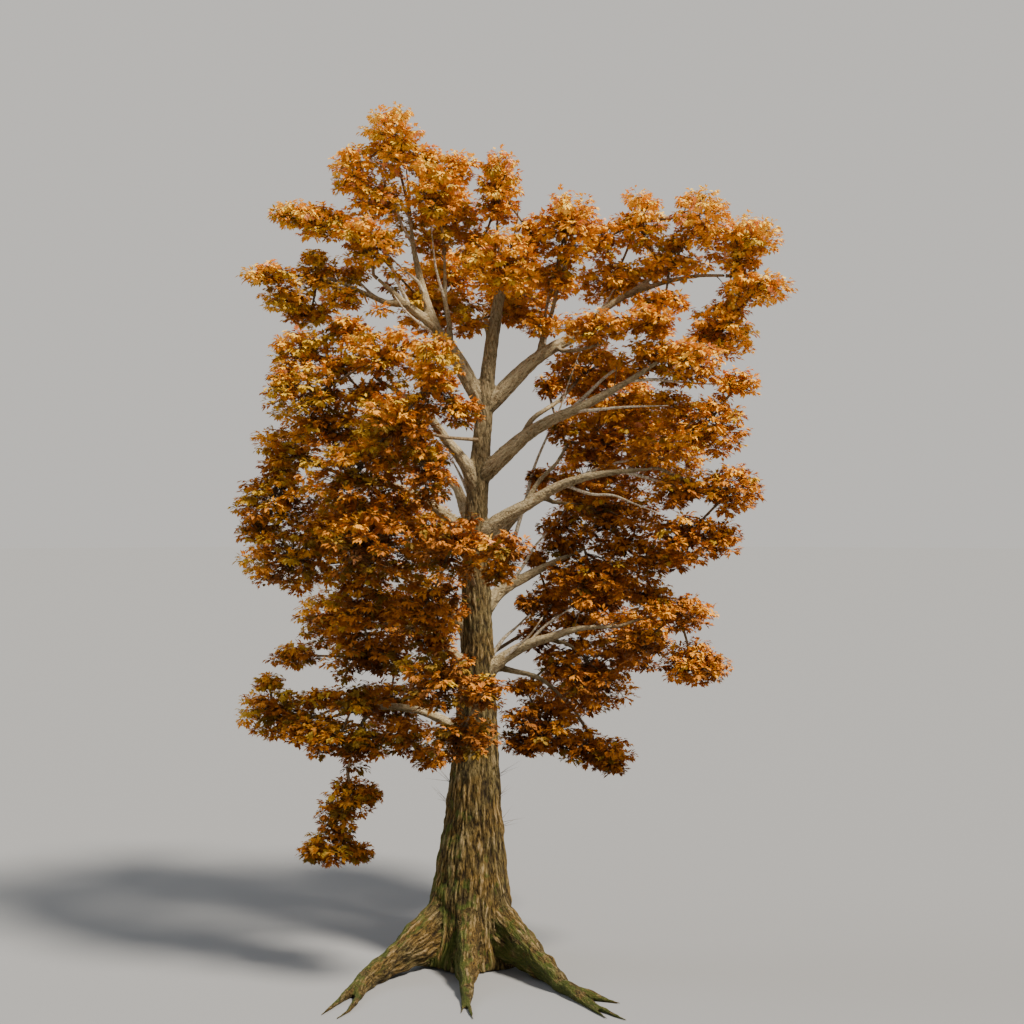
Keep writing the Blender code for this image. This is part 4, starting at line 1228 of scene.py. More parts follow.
def many_tubes(points: np.ndarray, radii: np.ndarray, sides: int) -> MeshArrays:
    """Points and triangles of many tapering tubes with closed ends.

    Args:
        points: One row of points for each tube, all rows equally long.
        radii: The radius at each point.
        sides: How many sides a tube has.

    Returns:
        The points and the triangles.
    """
    count, rings = points.shape[:2]
    ways = unit_rows(np.gradient(points, axis=1))
    side = np.broadcast_to(TWIG_SIDE, (count, 3))
    around = np.linspace(0, 2 * math.pi, sides, endpoint=False)
    places = np.empty((count, rings, sides, 3))
    for ring in range(rings):
        way = ways[:, ring]
        side = unit_rows(side - way * row_dots(side, way)[:, None])
        other = np.cross(way, side)
        circle = np.cos(around)[:, None] * side[:, None] + np.sin(around)[:, None] * other[:, None]
        places[:, ring] = points[:, ring, None] + radii[:, ring, None, None] * circle
    near = np.arange(sides)
    far = near + sides
    following = np.roll(near, -1)
    wall = np.vstack([
        np.column_stack([near, following, following + sides]),
        np.column_stack([near, following + sides, far]),
    ])
    walls = (wall + sides * np.arange(rings - 1)[:, None, None]).reshape(-1, 3)
    fan = np.column_stack([np.zeros(sides - 2, int), np.arange(1, sides - 1), np.arange(2, sides)])
    caps = np.vstack([fan[:, ::-1], fan + sides * (rings - 1)])
    one = np.vstack([walls, caps])
    triangles = (one + rings * sides * np.arange(count)[:, None, None]).reshape(-1, 3)
    return places.reshape(-1, 3), triangles


def many_spikes(starts: np.ndarray, ends: np.ndarray, radius: float) -> MeshArrays:
    """Points and triangles of many three-sided spikes, closed at the foot.

    Args:
        starts: The middle of each foot.
        ends: The tips.
        radius: The foot's radius.

    Returns:
        The points and the triangles.
    """
    ways = unit_rows(ends - starts)
    side = unit_rows(np.cross(ways, SPIKE_SIDE))
    other = np.cross(ways, side)
    turns = [math.radians(turn) for turn in (0, 120, 240)]
    foot = [starts + radius * (math.cos(turn) * side + math.sin(turn) * other) for turn in turns]
    places = np.stack([*foot, ends], axis=1)
    one = np.array([(0, 1, 3), (1, 2, 3), (2, 0, 3), (0, 2, 1)])
    triangles = (one + 4 * np.arange(len(starts))[:, None, None]).reshape(-1, 3)
    return places.reshape(-1, 3), triangles


@dataclass
class Bark:
    """The skin of the trunk, roots and boughs: one surface, grown over the limbs, with its bark's relief."""

    plan: TreePlan
    voxel: float = 0.031  # the grid on which the limbs grow into one surface
    smoothing_steps: int = 6
    smoothing: float = 0.5
    trunk_sides: int = 48
    limb_sides: int = 16
    furrow_width: float = 0.27  # how high the noise rises from a furrow's bottom to the ridge
    furrow_power: float = 0.7  # below 1 the ridges are rounded
    furrow_rate: float = 0.62  # furrows a plate
    cross_rate: float = 0.9  # and those of the second noise, which are shallower
    cross_share: float = 0.7
    cross_lift: float = 0.02
    second_noise: Vector = field(default_factory=lambda: Vector((31.7, 12.3, 5.1)))
    relief_depth: float = 0.085  # on a limb of one metre radius
    relief_power: float = 0.8
    relief_most: float = 0.07
    relief_level: float = 0.6  # the share of the relief that lies below the solid's own surface
    rough_share: float = 0.3
    rough_rate: float = 2.2
    roughness: tuple[float, float, int] = (0.8, 2.1, 3)  # fractal power, spread and octaves
    warp: float = 0.55
    warp_rate: float = 0.6
    lump_height: float = 0.07
    lump_rate: float = 1.5
    burl_height: float = 0.075
    burl_rate: float = 3.4
    lump_fade: float = 3.0
    lump_radius: float = 0.2  # of the thinnest limb that has its lumps in full
    ground_fade: float = 0.12
    cut_width: float = 1e-4  # how far from the ground a point still counts as on the cut
    moss_fade: float = 4.0  # the height over which the moss thins out
    moss_even: float = 0.2  # how much of it grows all round
    moss_shaded: float = 0.65  # and how much on the side away from the key light, as painted shade in the mosses' green
    shade_middle: float = 0.35
    shade_slope: float = 0.65
    root_moss: float = 0.1
    root_moss_fade: float = 0.8
    painted_underside_shade: float = 0.6  # painted shade: how pale the underside is beside the top, which has painted light
    painted_top_light_turn: Pair = (0.3, 1.2)

    def build(self) -> list[bpy.types.Object]:
        """Grows the skin and cuts it into the trunk's piece and the boughs' piece."""
        material = BarkFinish().material()
        field_of_limbs = LimbField(self.plan.limbs)
        noise.seed_set(SEED)  # or the furrows' warp differs each run
        whole = self.skin()
        bark = field_of_limbs.bark_places(self.mesh_arrays(whole)[0])
        relief = self.relief(bark)
        self.displace(whole, bark, relief)
        kinds = [limb.kind for limb in self.plan.limbs]
        on_bough = np.array([kinds[owner] is LimbKind.BOUGH for owner in bark.owner])
        self.write_attributes(whole, bark, relief)
        limb_nodes = [node for node in frame["nodes"] if node.startswith(("bough_", "branch_"))]
        pieces = []
        for name, keep, replaced in (
            ("trunk_bark", ~on_bough, ["trunk"]),
            ("bough_bark", on_bough, limb_nodes),
        ):
            piece = new_piece(name, self.part_of(whole, keep), material)
            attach(piece, BODY)
            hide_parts(*replaced)
            pieces.append(piece)
        bpy.data.meshes.remove(whole)
        return pieces

    def skin(self) -> bpy.types.Mesh:
        """One smooth closed surface over every limb, cut flat at the ground."""
        shell = bmesh.new()
        for limb in self.plan.limbs:
            sides = self.trunk_sides if limb.kind is LimbKind.TRUNK else self.limb_sides
            made = self.add_limb(shell, limb.rows, sides)
            if limb.kind is LimbKind.TRUNK:
                self.raise_buttresses(made)
        bmesh.ops.recalc_face_normals(shell, faces=shell.faces)
        mesh = bpy.data.meshes.new("limbs")
        shell.to_mesh(mesh)
        shell.free()
        mesh = self.remeshed(mesh)
        shell = bmesh.new()
        shell.from_mesh(mesh)
        for _ in range(self.smoothing_steps):
            every_axis = {f"use_axis_{axis}": True for axis in "xyz"}
            bmesh.ops.smooth_vert(shell, verts=shell.verts, factor=self.smoothing, **every_axis)
        parts = [*shell.verts, *shell.edges, *shell.faces]
        made = bmesh.ops.bisect_plane(
            shell, geom=parts, dist=CUT_DISTANCE, plane_co=(0, 0, 0), plane_no=-UP, clear_outer=True
        )
        rim = [part for part in made["geom_cut"] if isinstance(part, bmesh.types.BMEdge)]
        bmesh.ops.triangle_fill(shell, use_beauty=True, use_dissolve=False, edges=rim)
        bmesh.ops.triangulate(shell, faces=shell.faces)
        bmesh.ops.recalc_face_normals(shell, faces=shell.faces)
        shell.to_mesh(mesh)
        shell.free()
        mesh.shade_smooth()
        return mesh

    def add_limb(self, shell: bmesh.types.BMesh, rows: np.ndarray, sides: int) -> list[bmesh.types.BMVert]:
        """Adds a closed tapering tube along a limb's points.

        Args:
            shell: The bmesh to add to.
            rows: The points and radii.
            sides: How many sides the tube has.

        Returns:
            The new vertices.
        """
        points = [Vector(row[:3]) for row in rows]
        ways = [Vector(way) for way in np.gradient(rows[:, :3], axis=0)]
        frame_now = self.ring_frame(points[0], ways[0], rows[0, 3])
        ring = bmesh.ops.create_circle(shell, cap_ends=True, segments=sides, radius=1.0, matrix=frame_now)
        made = list(ring["verts"])
        face = made[0].link_faces[0]
        for number, (point, way, row) in enumerate(zip(points[1:], ways[1:], rows[1:])):
            grown = bmesh.ops.extrude_face_region(shell, geom=[face])["geom"]
            if number:
                bmesh.ops.delete(shell, geom=[face], context="FACES_ONLY")
            face = next(part for part in grown if isinstance(part, bmesh.types.BMFace))
            following = self.ring_frame(point, way, row[3])
            bmesh.ops.transform(shell, matrix=following @ frame_now.inverted(), verts=face.verts)
            frame_now = following
            made += face.verts
        return made

    @staticmethod
    def ring_frame(place: Vector, way: Vector, radius: float) -> Matrix:
        """The matrix that puts a unit ring across a direction at a place."""
        turn = way.to_track_quat("Z", "Y").to_matrix().to_4x4()
        return Matrix.Translation(place) @ turn @ Matrix.Scale(radius, 4)

    @staticmethod
    def raise_buttresses(vertices: list[bmesh.types.BMVert]) -> None:
        """Swells the foot of the trunk above each root and leaves hollows between them.

        Args:
            vertices: The trunk's own vertices.
        """
        directions = [math.radians(chain[0].leave) for chain in ROOT_CHAINS.values()]
        for vertex in vertices:
            offset = vertex.co - trunk_centre(vertex.co.z)
            offset.z = 0.0
            azimuth = math.atan2(offset.y, offset.x)
            nearest = max(math.cos(azimuth - direction) for direction in directions)
            swell = BUTTRESS * (2 * max(nearest, 0.0) ** 4 - 1) * math.exp(-vertex.co.z / BUTTRESS_HEIGHT)
            vertex.co += offset.normalized() * swell

    def remeshed(self, mesh: bpy.types.Mesh) -> bpy.types.Mesh:
        """Grows the limbs' tubes together on a grid.

        Args:
            mesh: The tubes, which is removed.

        Returns:
            The new mesh.
        """
        helper = new_object("limbs", mesh)
        grid = helper.modifiers.new("grow_together", "REMESH")
        grid.mode = "VOXEL"
        grid.voxel_size = self.voxel
        graph = bpy.context.evaluated_depsgraph_get()
        made = bpy.data.meshes.new_from_object(helper.evaluated_get(graph), depsgraph=graph)
        bpy.data.objects.remove(helper, do_unlink=True)
        bpy.data.meshes.remove(mesh)
        return made

    @staticmethod
    def mesh_arrays(mesh: bpy.types.Mesh) -> tuple[np.ndarray, np.ndarray]:
        """Reads a mesh into arrays.

        Args:
            mesh: The mesh.

        Returns:
            Its points and their normals.
        """
        places = np.empty(len(mesh.vertices) * 3)
        normals = np.empty(len(mesh.vertices) * 3)
        mesh.vertices.foreach_get("co", places)
        mesh.vertex_normals.foreach_get("vector", normals)
        return places.reshape(-1, 3), normals.reshape(-1, 3)

    def relief(self, bark: BarkPlaces) -> np.ndarray:
        """Works out the bark's height: furrows run where one of two long drawn out noises crosses zero.

        Args:
            bark: Where the points lie in the grain.

        Returns:
            The height at each point, from 0 in a furrow to 1 on a ridge.
        """
        heights = np.empty(len(bark.grain))
        for number, place in enumerate(bark.grain):
            middle = Vector(place)
            warped = middle + noise.noise_vector(middle * self.warp_rate) * self.warp
            first = abs(noise.noise(warped * self.furrow_rate))
            second = abs(noise.noise(warped * self.cross_rate + self.second_noise))
            edge = min(min(first, self.cross_share * second + self.cross_lift) / self.furrow_width, 1.0)
            rough = NOISE_MIDDLE + noise.fractal(middle * self.rough_rate, *self.roughness)
            heights[number] = edge**self.furrow_power * (1 - self.rough_share) + self.rough_share * rough
        return np.clip(heights, 0.0, 1.0)

    def displace(self, mesh: bpy.types.Mesh, bark: BarkPlaces, relief: np.ndarray) -> None:
        """Moves the skin's points out on the ridges and in at the furrows, but not through the ground.

        Args:
            mesh: The skin.
            bark: Where its points lie in the grain.
            relief: The bark's height at each point.
        """
        places, normals = self.mesh_arrays(mesh)
        depth = np.minimum(self.relief_depth * bark.radius**self.relief_power, self.relief_most)
        lumps = np.zeros(len(places))
        for height, rate in ((self.lump_height, self.lump_rate), (self.burl_height, self.burl_rate)):
            lumps += height * np.array([noise.noise(Vector(place) * rate) for place in places])
        lumps *= np.exp(-places[:, 2] / self.lump_fade)
        lumps *= np.minimum(bark.radius / self.lump_radius, 1.0)
        move = normals * (depth * (relief - self.relief_level) + lumps)[:, None]
        move[:, 2] *= np.clip(places[:, 2] / self.ground_fade, 0, 1)
        moved = places + move
        moved[places[:, 2] < self.cut_width, 2] = 0.0
        moved[:, 2] = np.maximum(moved[:, 2], 0.0)
        mesh.vertices.foreach_set("co", moved.astype(np.float32).ravel())
        mesh.update()

    def write_attributes(self, mesh: bpy.types.Mesh, bark: BarkPlaces, relief: np.ndarray) -> None:
        """Keeps the grain, the relief, how pale the bark is with painted light on the tops of the limbs, and
        where mosses and painted shade go, with each point.

        Args:
            mesh: The displaced skin.
            bark: Where its points lie in the grain.
            relief: The bark's height at each point.
        """
        places, normals = self.mesh_arrays(mesh)
        low = np.exp(-places[:, 2] / self.moss_fade)
        # Painted shade: more of the mosses' green on the side away from the key light.
        shaded = np.clip(self.shade_middle - self.shade_slope * normals[:, 0], 0, 1)
        root_top = np.clip(normals[:, 2], 0, 1) * np.exp(-places[:, 2] / self.root_moss_fade)
        moss = low * (self.moss_even + self.moss_shaded * shaded) + self.root_moss * root_top
        # Painted light and shade: paler bark on the tops of the limbs, browner under them.
        level, slope = self.painted_top_light_turn
        turned = np.clip(level + slope * normals[:, 2], 0, 1)
        pale = bark.pale * (self.painted_underside_shade + (1 - self.painted_underside_shade) * turned)
        for name, values in (("relief", relief), ("pale", pale), ("moss", np.clip(moss, 0, 1))):
            mesh.attributes.new(name, "FLOAT", "POINT").data.foreach_set("value", values)
        for name, rows in (("grain", bark.grain), ("smooth_normal", normals)):
            mesh.attributes.new(name, "FLOAT_VECTOR", "POINT").data.foreach_set("vector", rows.ravel())

    @staticmethod
    def part_of(whole: bpy.types.Mesh, keep: np.ndarray) -> bpy.types.Mesh:
        """Cuts a part out of the skin and closes it where it was joined to the rest.

        Args:
            whole: The whole skin.
            keep: Whether each of its points belongs to the part.

        Returns:
            The part's mesh, shaded like the whole.
        """
        shell = bmesh.new()
        shell.from_mesh(whole)
        shell.faces.ensure_lookup_table()
        away = [face for face in shell.faces if sum(keep[corner.index] for corner in face.verts) < 2]
        bmesh.ops.delete(shell, geom=away, context="FACES")
        rim = [edge for edge in shell.edges if edge.is_boundary]
        bmesh.ops.holes_fill(shell, edges=rim, sides=0)
        bmesh.ops.triangulate(shell, faces=[face for face in shell.faces if len(face.verts) > 3])
        mesh = bpy.data.meshes.new("part")
        shell.to_mesh(mesh)
        shell.free()
        normals = np.empty(len(mesh.vertices) * 3)
        mesh.attributes["smooth_normal"].data.foreach_get("vector", normals)
        mesh.attributes.remove(mesh.attributes["smooth_normal"])
        mesh.shade_smooth()
        mesh.normals_split_custom_set_from_vertices(normals.reshape(-1, 3).tolist())
        return mesh


class LeafHalf(Enum):
    """The outline of half a leaf of unit length between its foot and its tip: points across and along."""

    LOBED = ((0.45, 0.60), (0.17, 0.58))
    PLAIN = ((0.27, 0.48),)


@dataclass(frozen=True)
class LeafForm:
    """A leaf of a few faces: an outline made of two halves, folded along its midrib."""

    left: LeafHalf
    right: LeafHalf
    share: float
    fold: float = 0.35

    def arrays(self) -> MeshArrays:
        """The leaf's points (across, along, and out of its face) and its triangles."""
        shell = bmesh.new()
        foot, tip = (shell.verts.new((0.0, along, 0.0)) for along in (0.0, 1.0))
        for side, half in ((1, self.right), (-1, self.left)):
            corners = [(side * across, along, self.fold * across) for across, along in half.value]
            outline = [foot, *(shell.verts.new(corner) for corner in corners), tip]
            shell.faces.new(outline if side > 0 else outline[::-1])
        bmesh.ops.triangulate(shell, faces=shell.faces)
        shell.verts.index_update()
        places = vector_rows(vertex.co for vertex in shell.verts)
        triangles = np.array([[corner.index for corner in face.verts] for face in shell.faces])
        shell.free()
        return places, triangles


LEAF_FORMS = (
    LeafForm(LeafHalf.LOBED, LeafHalf.LOBED, 0.26),
    LeafForm(LeafHalf.LOBED, LeafHalf.PLAIN, 0.12),
    LeafForm(LeafHalf.PLAIN, LeafHalf.LOBED, 0.12),
    LeafForm(LeafHalf.PLAIN, LeafHalf.PLAIN, 0.5),
)


@dataclass
class Shoot:
    """A branchlet that ends in a knob of leafy twigs, and the outline that its leaves keep to."""

    points: list[Vector]
    knob: float  # the knob's radius
    outline_centre: Vector
    outline_sizes: Vector
    depth: float = 0.0  # how far inside its clump the knob lies, from 0 on the outline to 1


@dataclass
class Spray:
    """One leafy twig: where it starts and ends, and the number of its shoot."""

    start: Vector
    end: Vector
    shoot: int


@dataclass
class SprayRows:
    """All the sprays as arrays, one row each."""

    starts: np.ndarray
    ends: np.ndarray
    shoots: np.ndarray  # the number of its shoot
    centres: np.ndarray  # of the outline that its leaves keep to
    sizes: np.ndarray
    knobs: np.ndarray  # the middle of its knob
    radii: np.ndarray
    depths: np.ndarray
    near_limb: np.ndarray


@dataclass
class LeafRows:
    """One leaf for each spray: where it grows, its length and axes, its form and whether it stays."""

    roots: np.ndarray
    lengths: np.ndarray
    axes: np.ndarray
    forms: np.ndarray
    wanted: np.ndarray

    def meshes(self, chosen: np.ndarray, form: MeshArrays) -> MeshArrays:
        """The chosen leaves in one form.

        Args:
            chosen: Whether each leaf is among them.
            form: The form's own points and triangles.

        Returns:
            The points and triangles of them all.
        """
        places, triangles = form
        made = self.roots[chosen, None] + self.lengths[chosen, None, None] * (places @ self.axes[chosen])
        steps = len(places) * np.arange(int(chosen.sum()))
        return made.reshape(-1, 3), (triangles + steps[:, None, None]).reshape(-1, 3)


def fade(values: np.ndarray, start: float, end: float) -> np.ndarray:
    """0 up to the start, 1 from the end on, and even between them."""
    return np.clip((values - start) / (end - start), 0, 1)


@dataclass(frozen=True)
class TintRule:
    """Painted light and shade in the leaves: how pale they are dealt by where they grow, from 0 for brown to
    1 for gold.
    """

    middle: float = 0.5
    middle_height: float = 11.0
    height_span: float = 8.0
    # Painted light that falls off downwards: paler above the middle height and darker below it.
    painted_light_slope_above: float = 0.33
    painted_light_slope_below: float = 0.1
    # Painted light on the outside of the crown and painted shade towards its middle.
    axis: float = 0.5  # the crown's middle, along X
    radius: float = 5.5
    outward_limit: float = 1.2
    outward_middle: float = 0.6
    outer_painted_light: float = 0.16
    clump_top_painted_light: float = 0.12  # painted light on the top of a clump
    clump_inside_painted_shade: float = 0.3  # painted shade in its inside
    low_left_painted_light: float = 0.05  # painted light on the low left of the crown
    left_reach: Pair = (0.0, -4.0)
    left_heights: Pair = (10.0, 6.0)
    front_painted_shade: float = 0.08  # painted shade on the shaded front
    front_reach: Pair = (-1.2, -2.7)
    front_heights: Pair = (13.0, 10.0)
    shoot_spread: float = 0.07
    spray_spread: float = 0.05
    tint_width: float = 0.1  # how far a spray's tint strays from its place's paleness
    olive_reach: float = 2.5  # olive tints grow rarer to the right
    olive_limits: Pair = (0.3, 2.6)

    def paleness(self, sprays: SprayRows) -> np.ndarray:
        """The paleness at each spray, which paints light and shade: more up and out on the crown and on top
        of a clump, less inside and at the front, more low on the left.
        """
        x, y, z = sprays.ends.T
        height_in_clump = (z - sprays.centres[:, 2]) / sprays.sizes[:, 2]
        upward = (z - self.middle_height) / self.height_span
        outward = np.clip(np.hypot(x - self.axis, y) / self.radius, 0, self.outward_limit)
        pale = self.middle + np.where(upward > 0, self.painted_light_slope_above, self.painted_light_slope_below) * upward
        pale += self.outer_painted_light * (outward - self.outward_middle) + self.clump_top_painted_light * height_in_clump
        pale -= self.clump_inside_painted_shade * sprays.depths
        pale += self.low_left_painted_light * fade(x, *self.left_reach) * fade(z, *self.left_heights)
        pale -= self.front_painted_shade * fade(y, *self.front_reach) * fade(z, *self.front_heights)
        return pale

    def deal(self, sprays: SprayRows, shoots: int, rng: np.random.Generator) -> np.ndarray:
        """Chooses each spray's tint.

        Args:
            sprays: The sprays.
            shoots: How many shoots they grow on.
            rng: Draws the tints.

        Returns:
            The number of each spray's tint.
        """
        pale = self.paleness(sprays)
        pale += rng.normal(0, self.shoot_spread, shoots)[sprays.shoots]
        pale += rng.normal(0, self.spray_spread, len(pale))
        levels = np.array([tint.paleness for tint in LEAF_TINTS])[:, None]
        shares = np.array([tint.share for tint in LEAF_TINTS])[:, None]
        olive = np.array([tint.slot == "leaves_olive" for tint in LEAF_TINTS])[:, None]
        olive_share = np.clip(1 - sprays.ends[:, 0] / self.olive_reach, *self.olive_limits)
        weights = np.exp(-(((pale.clip(0, 1) - levels) / self.tint_width) ** 2))
        weights = shares * np.where(olive, olive_share, 1.0) * weights
        table = np.cumsum(weights / weights.sum(0), axis=0)
        draw = rng.uniform(0, 1, shoots)[sprays.shoots]
        return (draw > table).sum(0).clip(0, len(LEAF_TINTS) - 1)


@dataclass
class Crown:
    """The masses of leaves: stems, branchlets, twigs and leaves that grow on from the limbs."""

    plan: TreePlan
    knobs_per_area: float = 35.0  # for each square metre of a clump's reach squared
    fewest_knobs: int = 6
    knob_sizes: Pair = (0.24, 0.38)
    knob_flatness: float = 0.62  # a knob's height over its width
    knob_inset: float = 0.6  # how much of a knob lies inside its clump's outline
    smallest_outline: float = 0.1
    inner_share: float = 0.2  # knobs that lie inside their clump and not in its outline
    inner_reach: Pair = (0.2, 0.6)
    outer_reach: Pair = (0.88, 1.06)
    stem_sides: int = 8
    branchlet_back: float = 0.7  # how far back along the stem the branchlets may start
    branchlet_points: int = 4
    branchlet_sides: int = 4
    branchlet_radii: Pair = (0.016, 0.006)
    branchlet_arch: float = 0.12  # its height over the branchlet's length
    arch_range: Pair = (0.3, 1.3)
    arch_foot: float = 0.7  # how far towards the arch's top the foot's own handle reaches
    side_shoots_from: float = 0.68  # the share of a bough's length where its own side shoots start
    side_shoot_spacing: float = 0.3
    side_shoot_reach: Pair = (0.3, 0.8)
    side_shoot_aims: tuple = ((0.0, 1.0), (0.5, 0.8), (0.35, 0.8))  # mean and spread on each axis
    side_shoot_forward: Pair = (0.2, 0.9)
    side_shoot_outline: float = 1.5  # the room for its leaves, in knobs
    side_shoot_depth: float = 0.3
    bough_step: float = 0.05  # the share of a bough over which its direction is taken
    twigs_per_knob: int = 9
    twig_radius: float = 0.006
    twig_foot: Pair = (0.6, 1.0)  # the shares of a branchlet's length where its twigs leave
    twig_reach: Pair = (0.65, 0.95)
    twig_lowest: float = -0.35  # how far below its knob's middle a twig may aim, as a share of its length
    bare_twig_radius: float = 0.03  # the thickest side branch that is dark like the twigs
    bare_twig_sides: int = 5
    shoots_per_spray: int = 4
    bare_shoot_lengths: Pair = (0.4, 0.75)
    bare_shoot_shift: float = 0.08
    bare_shoot_root: float = 0.9  # how far out on the trunk's radius it starts
    bare_shoot_turn: float = 35.0
    bare_shoot_pitch: Pair = (5.0, 55.0)
    leaves_per_twig: int = 13
    leaves_from: float = 0.35  # the share of a twig's length where its leaves start
    leaf_lengths: Pair = (0.11, 0.158)
    leaf_scatter: float = 0.3  # how far its leaves stray from a twig, in knobs
    leaf_spread: tuple[float, float, float] = (1.0, 1.0, 0.35)  # leaves stand out more than up
    leaf_droop: Pair = (0.1, 0.9)
    leaf_stray: float = 0.32  # how far a leaf turns aside
    facing_outward: float = 0.5
    facing_up: tuple[float, float, float] = (0.0, 0.0, 0.75)
    facing_stray: float = 0.14  # how far a leaf's face turns aside
    crown_limit: float = 1.14  # how far past its clump's outline a leaf may reach
    box_limit: float = 0.1  # how far past the solids' own box a leaf may reach
    limb_clearance: float = 0.02
    limb_reach: float = 0.76  # how near a knob lies to the limbs whose leaves are tested against them
    piece_limit: int = 190_000  # the most triangles in one piece of leaves
    shoots: list[Shoot] = field(default_factory=list)
    sprays: list[Spray] = field(default_factory=list)

    def build(self) -> list[bpy.types.Object]:
        """Grows every mass and makes the pieces."""
        rng = random.Random(SEED + 2)
        for name, clumps in MASSES.items():
            grown = clumps + FILLERS.get(name, ())
            for clump, stem in zip(grown, self.plan.stems[name], strict=True):
                self.grow_clump(clump, stem, rng)
        for limb in self.plan.limbs:
            if limb.kind is LimbKind.BOUGH:
                self.grow_side_shoots(limb, rng)
        log.info("%d shoots, %d twigs", len(self.shoots), len(self.sprays))
        wood = [self.build_side_branches(), self.build_branchlets(), self.build_twigs()]
        return [*wood, *self.build_leaves()]

    def grow_clump(self, clump: Clump, stem: np.ndarray, rng: random.Random) -> None:
        """Grows branchlets from a clump's stem out to its outline, each with a knob of leaves.

        Args:
            clump: The clump.
            stem: The rows of the stem that leads to it.
            rng: Draws the places.
        """
        count = max(self.fewest_knobs, round(self.knobs_per_area * clump.reach**2))
        path = [Vector(row[:3]) for row in stem]
        back = self.branchlet_back * clump.reach
        length = length_of(path)
        for direction in even_directions(count, rng):
            knob = rng.uniform(*self.knob_sizes)
            edge = clump.half_sizes - Vector((knob, knob, knob * self.knob_flatness)) * self.knob_inset
            sizes = Vector([max(size, self.smallest_outline) for size in edge])
            inner = rng.random() < self.inner_share
            reach = rng.uniform(*(self.inner_reach if inner else self.outer_reach))
            end = clump.centre + direction * sizes * reach
            start = point_along(path, 1 - min(rng.uniform(0, back), length) / length)
            shoot = Shoot([start, end], knob, clump.centre, clump.half_sizes, 1 - min(reach, 1))
            self.add_shoot(shoot, rng)

    def grow_side_shoots(self, limb: Limb, rng: random.Random) -> None:
        """Grows shoots along the outer part of a bough, mostly up and to its sides.

        Args:
            limb: The bough.
            rng: Draws the places.
        """
        path = [Vector(point) for point in limb.points]
        leafy = 1 - self.side_shoots_from
        count = round(length_of(path) * leafy / self.side_shoot_spacing)
        for number in range(count):
            share = self.side_shoots_from + leafy * (number + rng.random()) / count
            start = point_along(path, share)
            ahead = point_along(path, min(share + self.bough_step, 1.0))
            way = (ahead - point_along(path, share - self.bough_step)).normalized()
            side = Vector([rng.gauss(*aim) for aim in self.side_shoot_aims])
            side = (side - way * side.dot(way)).normalized()
            aim = (side + way * rng.uniform(*self.side_shoot_forward)).normalized()
            end = start + aim * rng.uniform(*self.side_shoot_reach)
            knob = rng.uniform(*self.knob_sizes)
            room = Vector((knob, knob, knob)) * self.side_shoot_outline
            self.add_shoot(Shoot([start, end], knob, end, room, self.side_shoot_depth), rng)

    def add_shoot(self, shoot: Shoot, rng: random.Random) -> None:
        """Bends a shoot that has only its foot and end into an arch, and adds its twigs.

        Args:
            shoot: The shoot.
            rng: Draws the shapes.
        """
        start, end = shoot.points
        rise = self.branchlet_arch * (end - start).length
        bend = start.lerp(end, 0.5) + UP * rise * rng.uniform(*self.arch_range)
        handle = start.lerp(bend, self.arch_foot)
        shoot.points = interpolate_bezier(start, handle, bend, end, self.branchlet_points)
        for direction in even_directions(self.twigs_per_knob, rng):
            foot = point_along(shoot.points, rng.uniform(*self.twig_foot))
            upward = max(direction.z, self.twig_lowest) * self.knob_flatness
            aim = Vector((direction.x, direction.y, upward))
            tip = end + aim * shoot.knob * rng.uniform(*self.twig_reach)
            self.sprays.append(Spray(foot, tip, len(self.shoots)))
        self.shoots.append(shoot)

    def build_side_branches(self) -> bpy.types.Object:
        """The side branches, as one piece."""
        lines = [line for line in self.plan.side_branches if line[0, 3] > self.bare_twig_radius]
        return self.joined_piece("side_branches", self.tubes(lines, self.stem_sides), SIDE_BRANCH_BARK)

    def build_branchlets(self) -> bpy.types.Object:
        """The stems of the masses and the branchlets, as one piece."""
        lines = [line for lines in self.plan.stems.values() for line in lines]
        points = np.array([vector_rows(shoot.points) for shoot in self.shoots])
        radii = np.broadcast_to(np.linspace(*self.branchlet_radii, self.branchlet_points), points.shape[:2])
        branchlets = many_tubes(points, radii, self.branchlet_sides)
        parts = [*self.tubes(lines, self.stem_sides), branchlets]
        return self.joined_piece("branchlets", parts, BRANCHLET_BARK)

    def build_twigs(self) -> bpy.types.Object:
        """The fine twigs, the thinnest side branches and the bare shoots, as one piece."""
        lines = [line for line in self.plan.side_branches if line[0, 3] <= self.bare_twig_radius]
        starts = vector_rows(spray.start for spray in self.sprays)
        ends = vector_rows(spray.end for spray in self.sprays)
        twigs = many_spikes(starts, ends, self.twig_radius)
        parts = [*self.tubes(lines, self.bare_twig_sides), twigs, self.bare_shoots()]
        return self.joined_piece("twigs", parts, TWIG_BARK)

    @staticmethod
    def tubes(lines: list[np.ndarray], sides: int) -> list[MeshArrays]:
        """One tube for each line, a row of points with a radius each."""
        return [many_tubes(line[None, :, :3], line[None, :, 3], sides) for line in lines]

    def bare_shoots(self) -> MeshArrays:
        """Sprays of thin leafless shoots on the trunk below the crown."""
        rng = random.Random(SEED + 5)
        starts, ends = [], []
        for height, azimuth in BARE_SHOOTS:
            for _ in range(self.shoots_per_spray):
                low = height + rng.uniform(-self.bare_shoot_shift, self.bare_shoot_shift)
                start = trunk_centre(low) + heading(azimuth, 0) * trunk_radius(low) * self.bare_shoot_root
                turned = azimuth + rng.uniform(-self.bare_shoot_turn, self.bare_shoot_turn)
                aim = heading(turned, rng.uniform(*self.bare_shoot_pitch))
                starts.append(start)
                ends.append(start + aim * rng.uniform(*self.bare_shoot_lengths))
        return many_spikes(vector_rows(starts), vector_rows(ends), self.twig_radius)

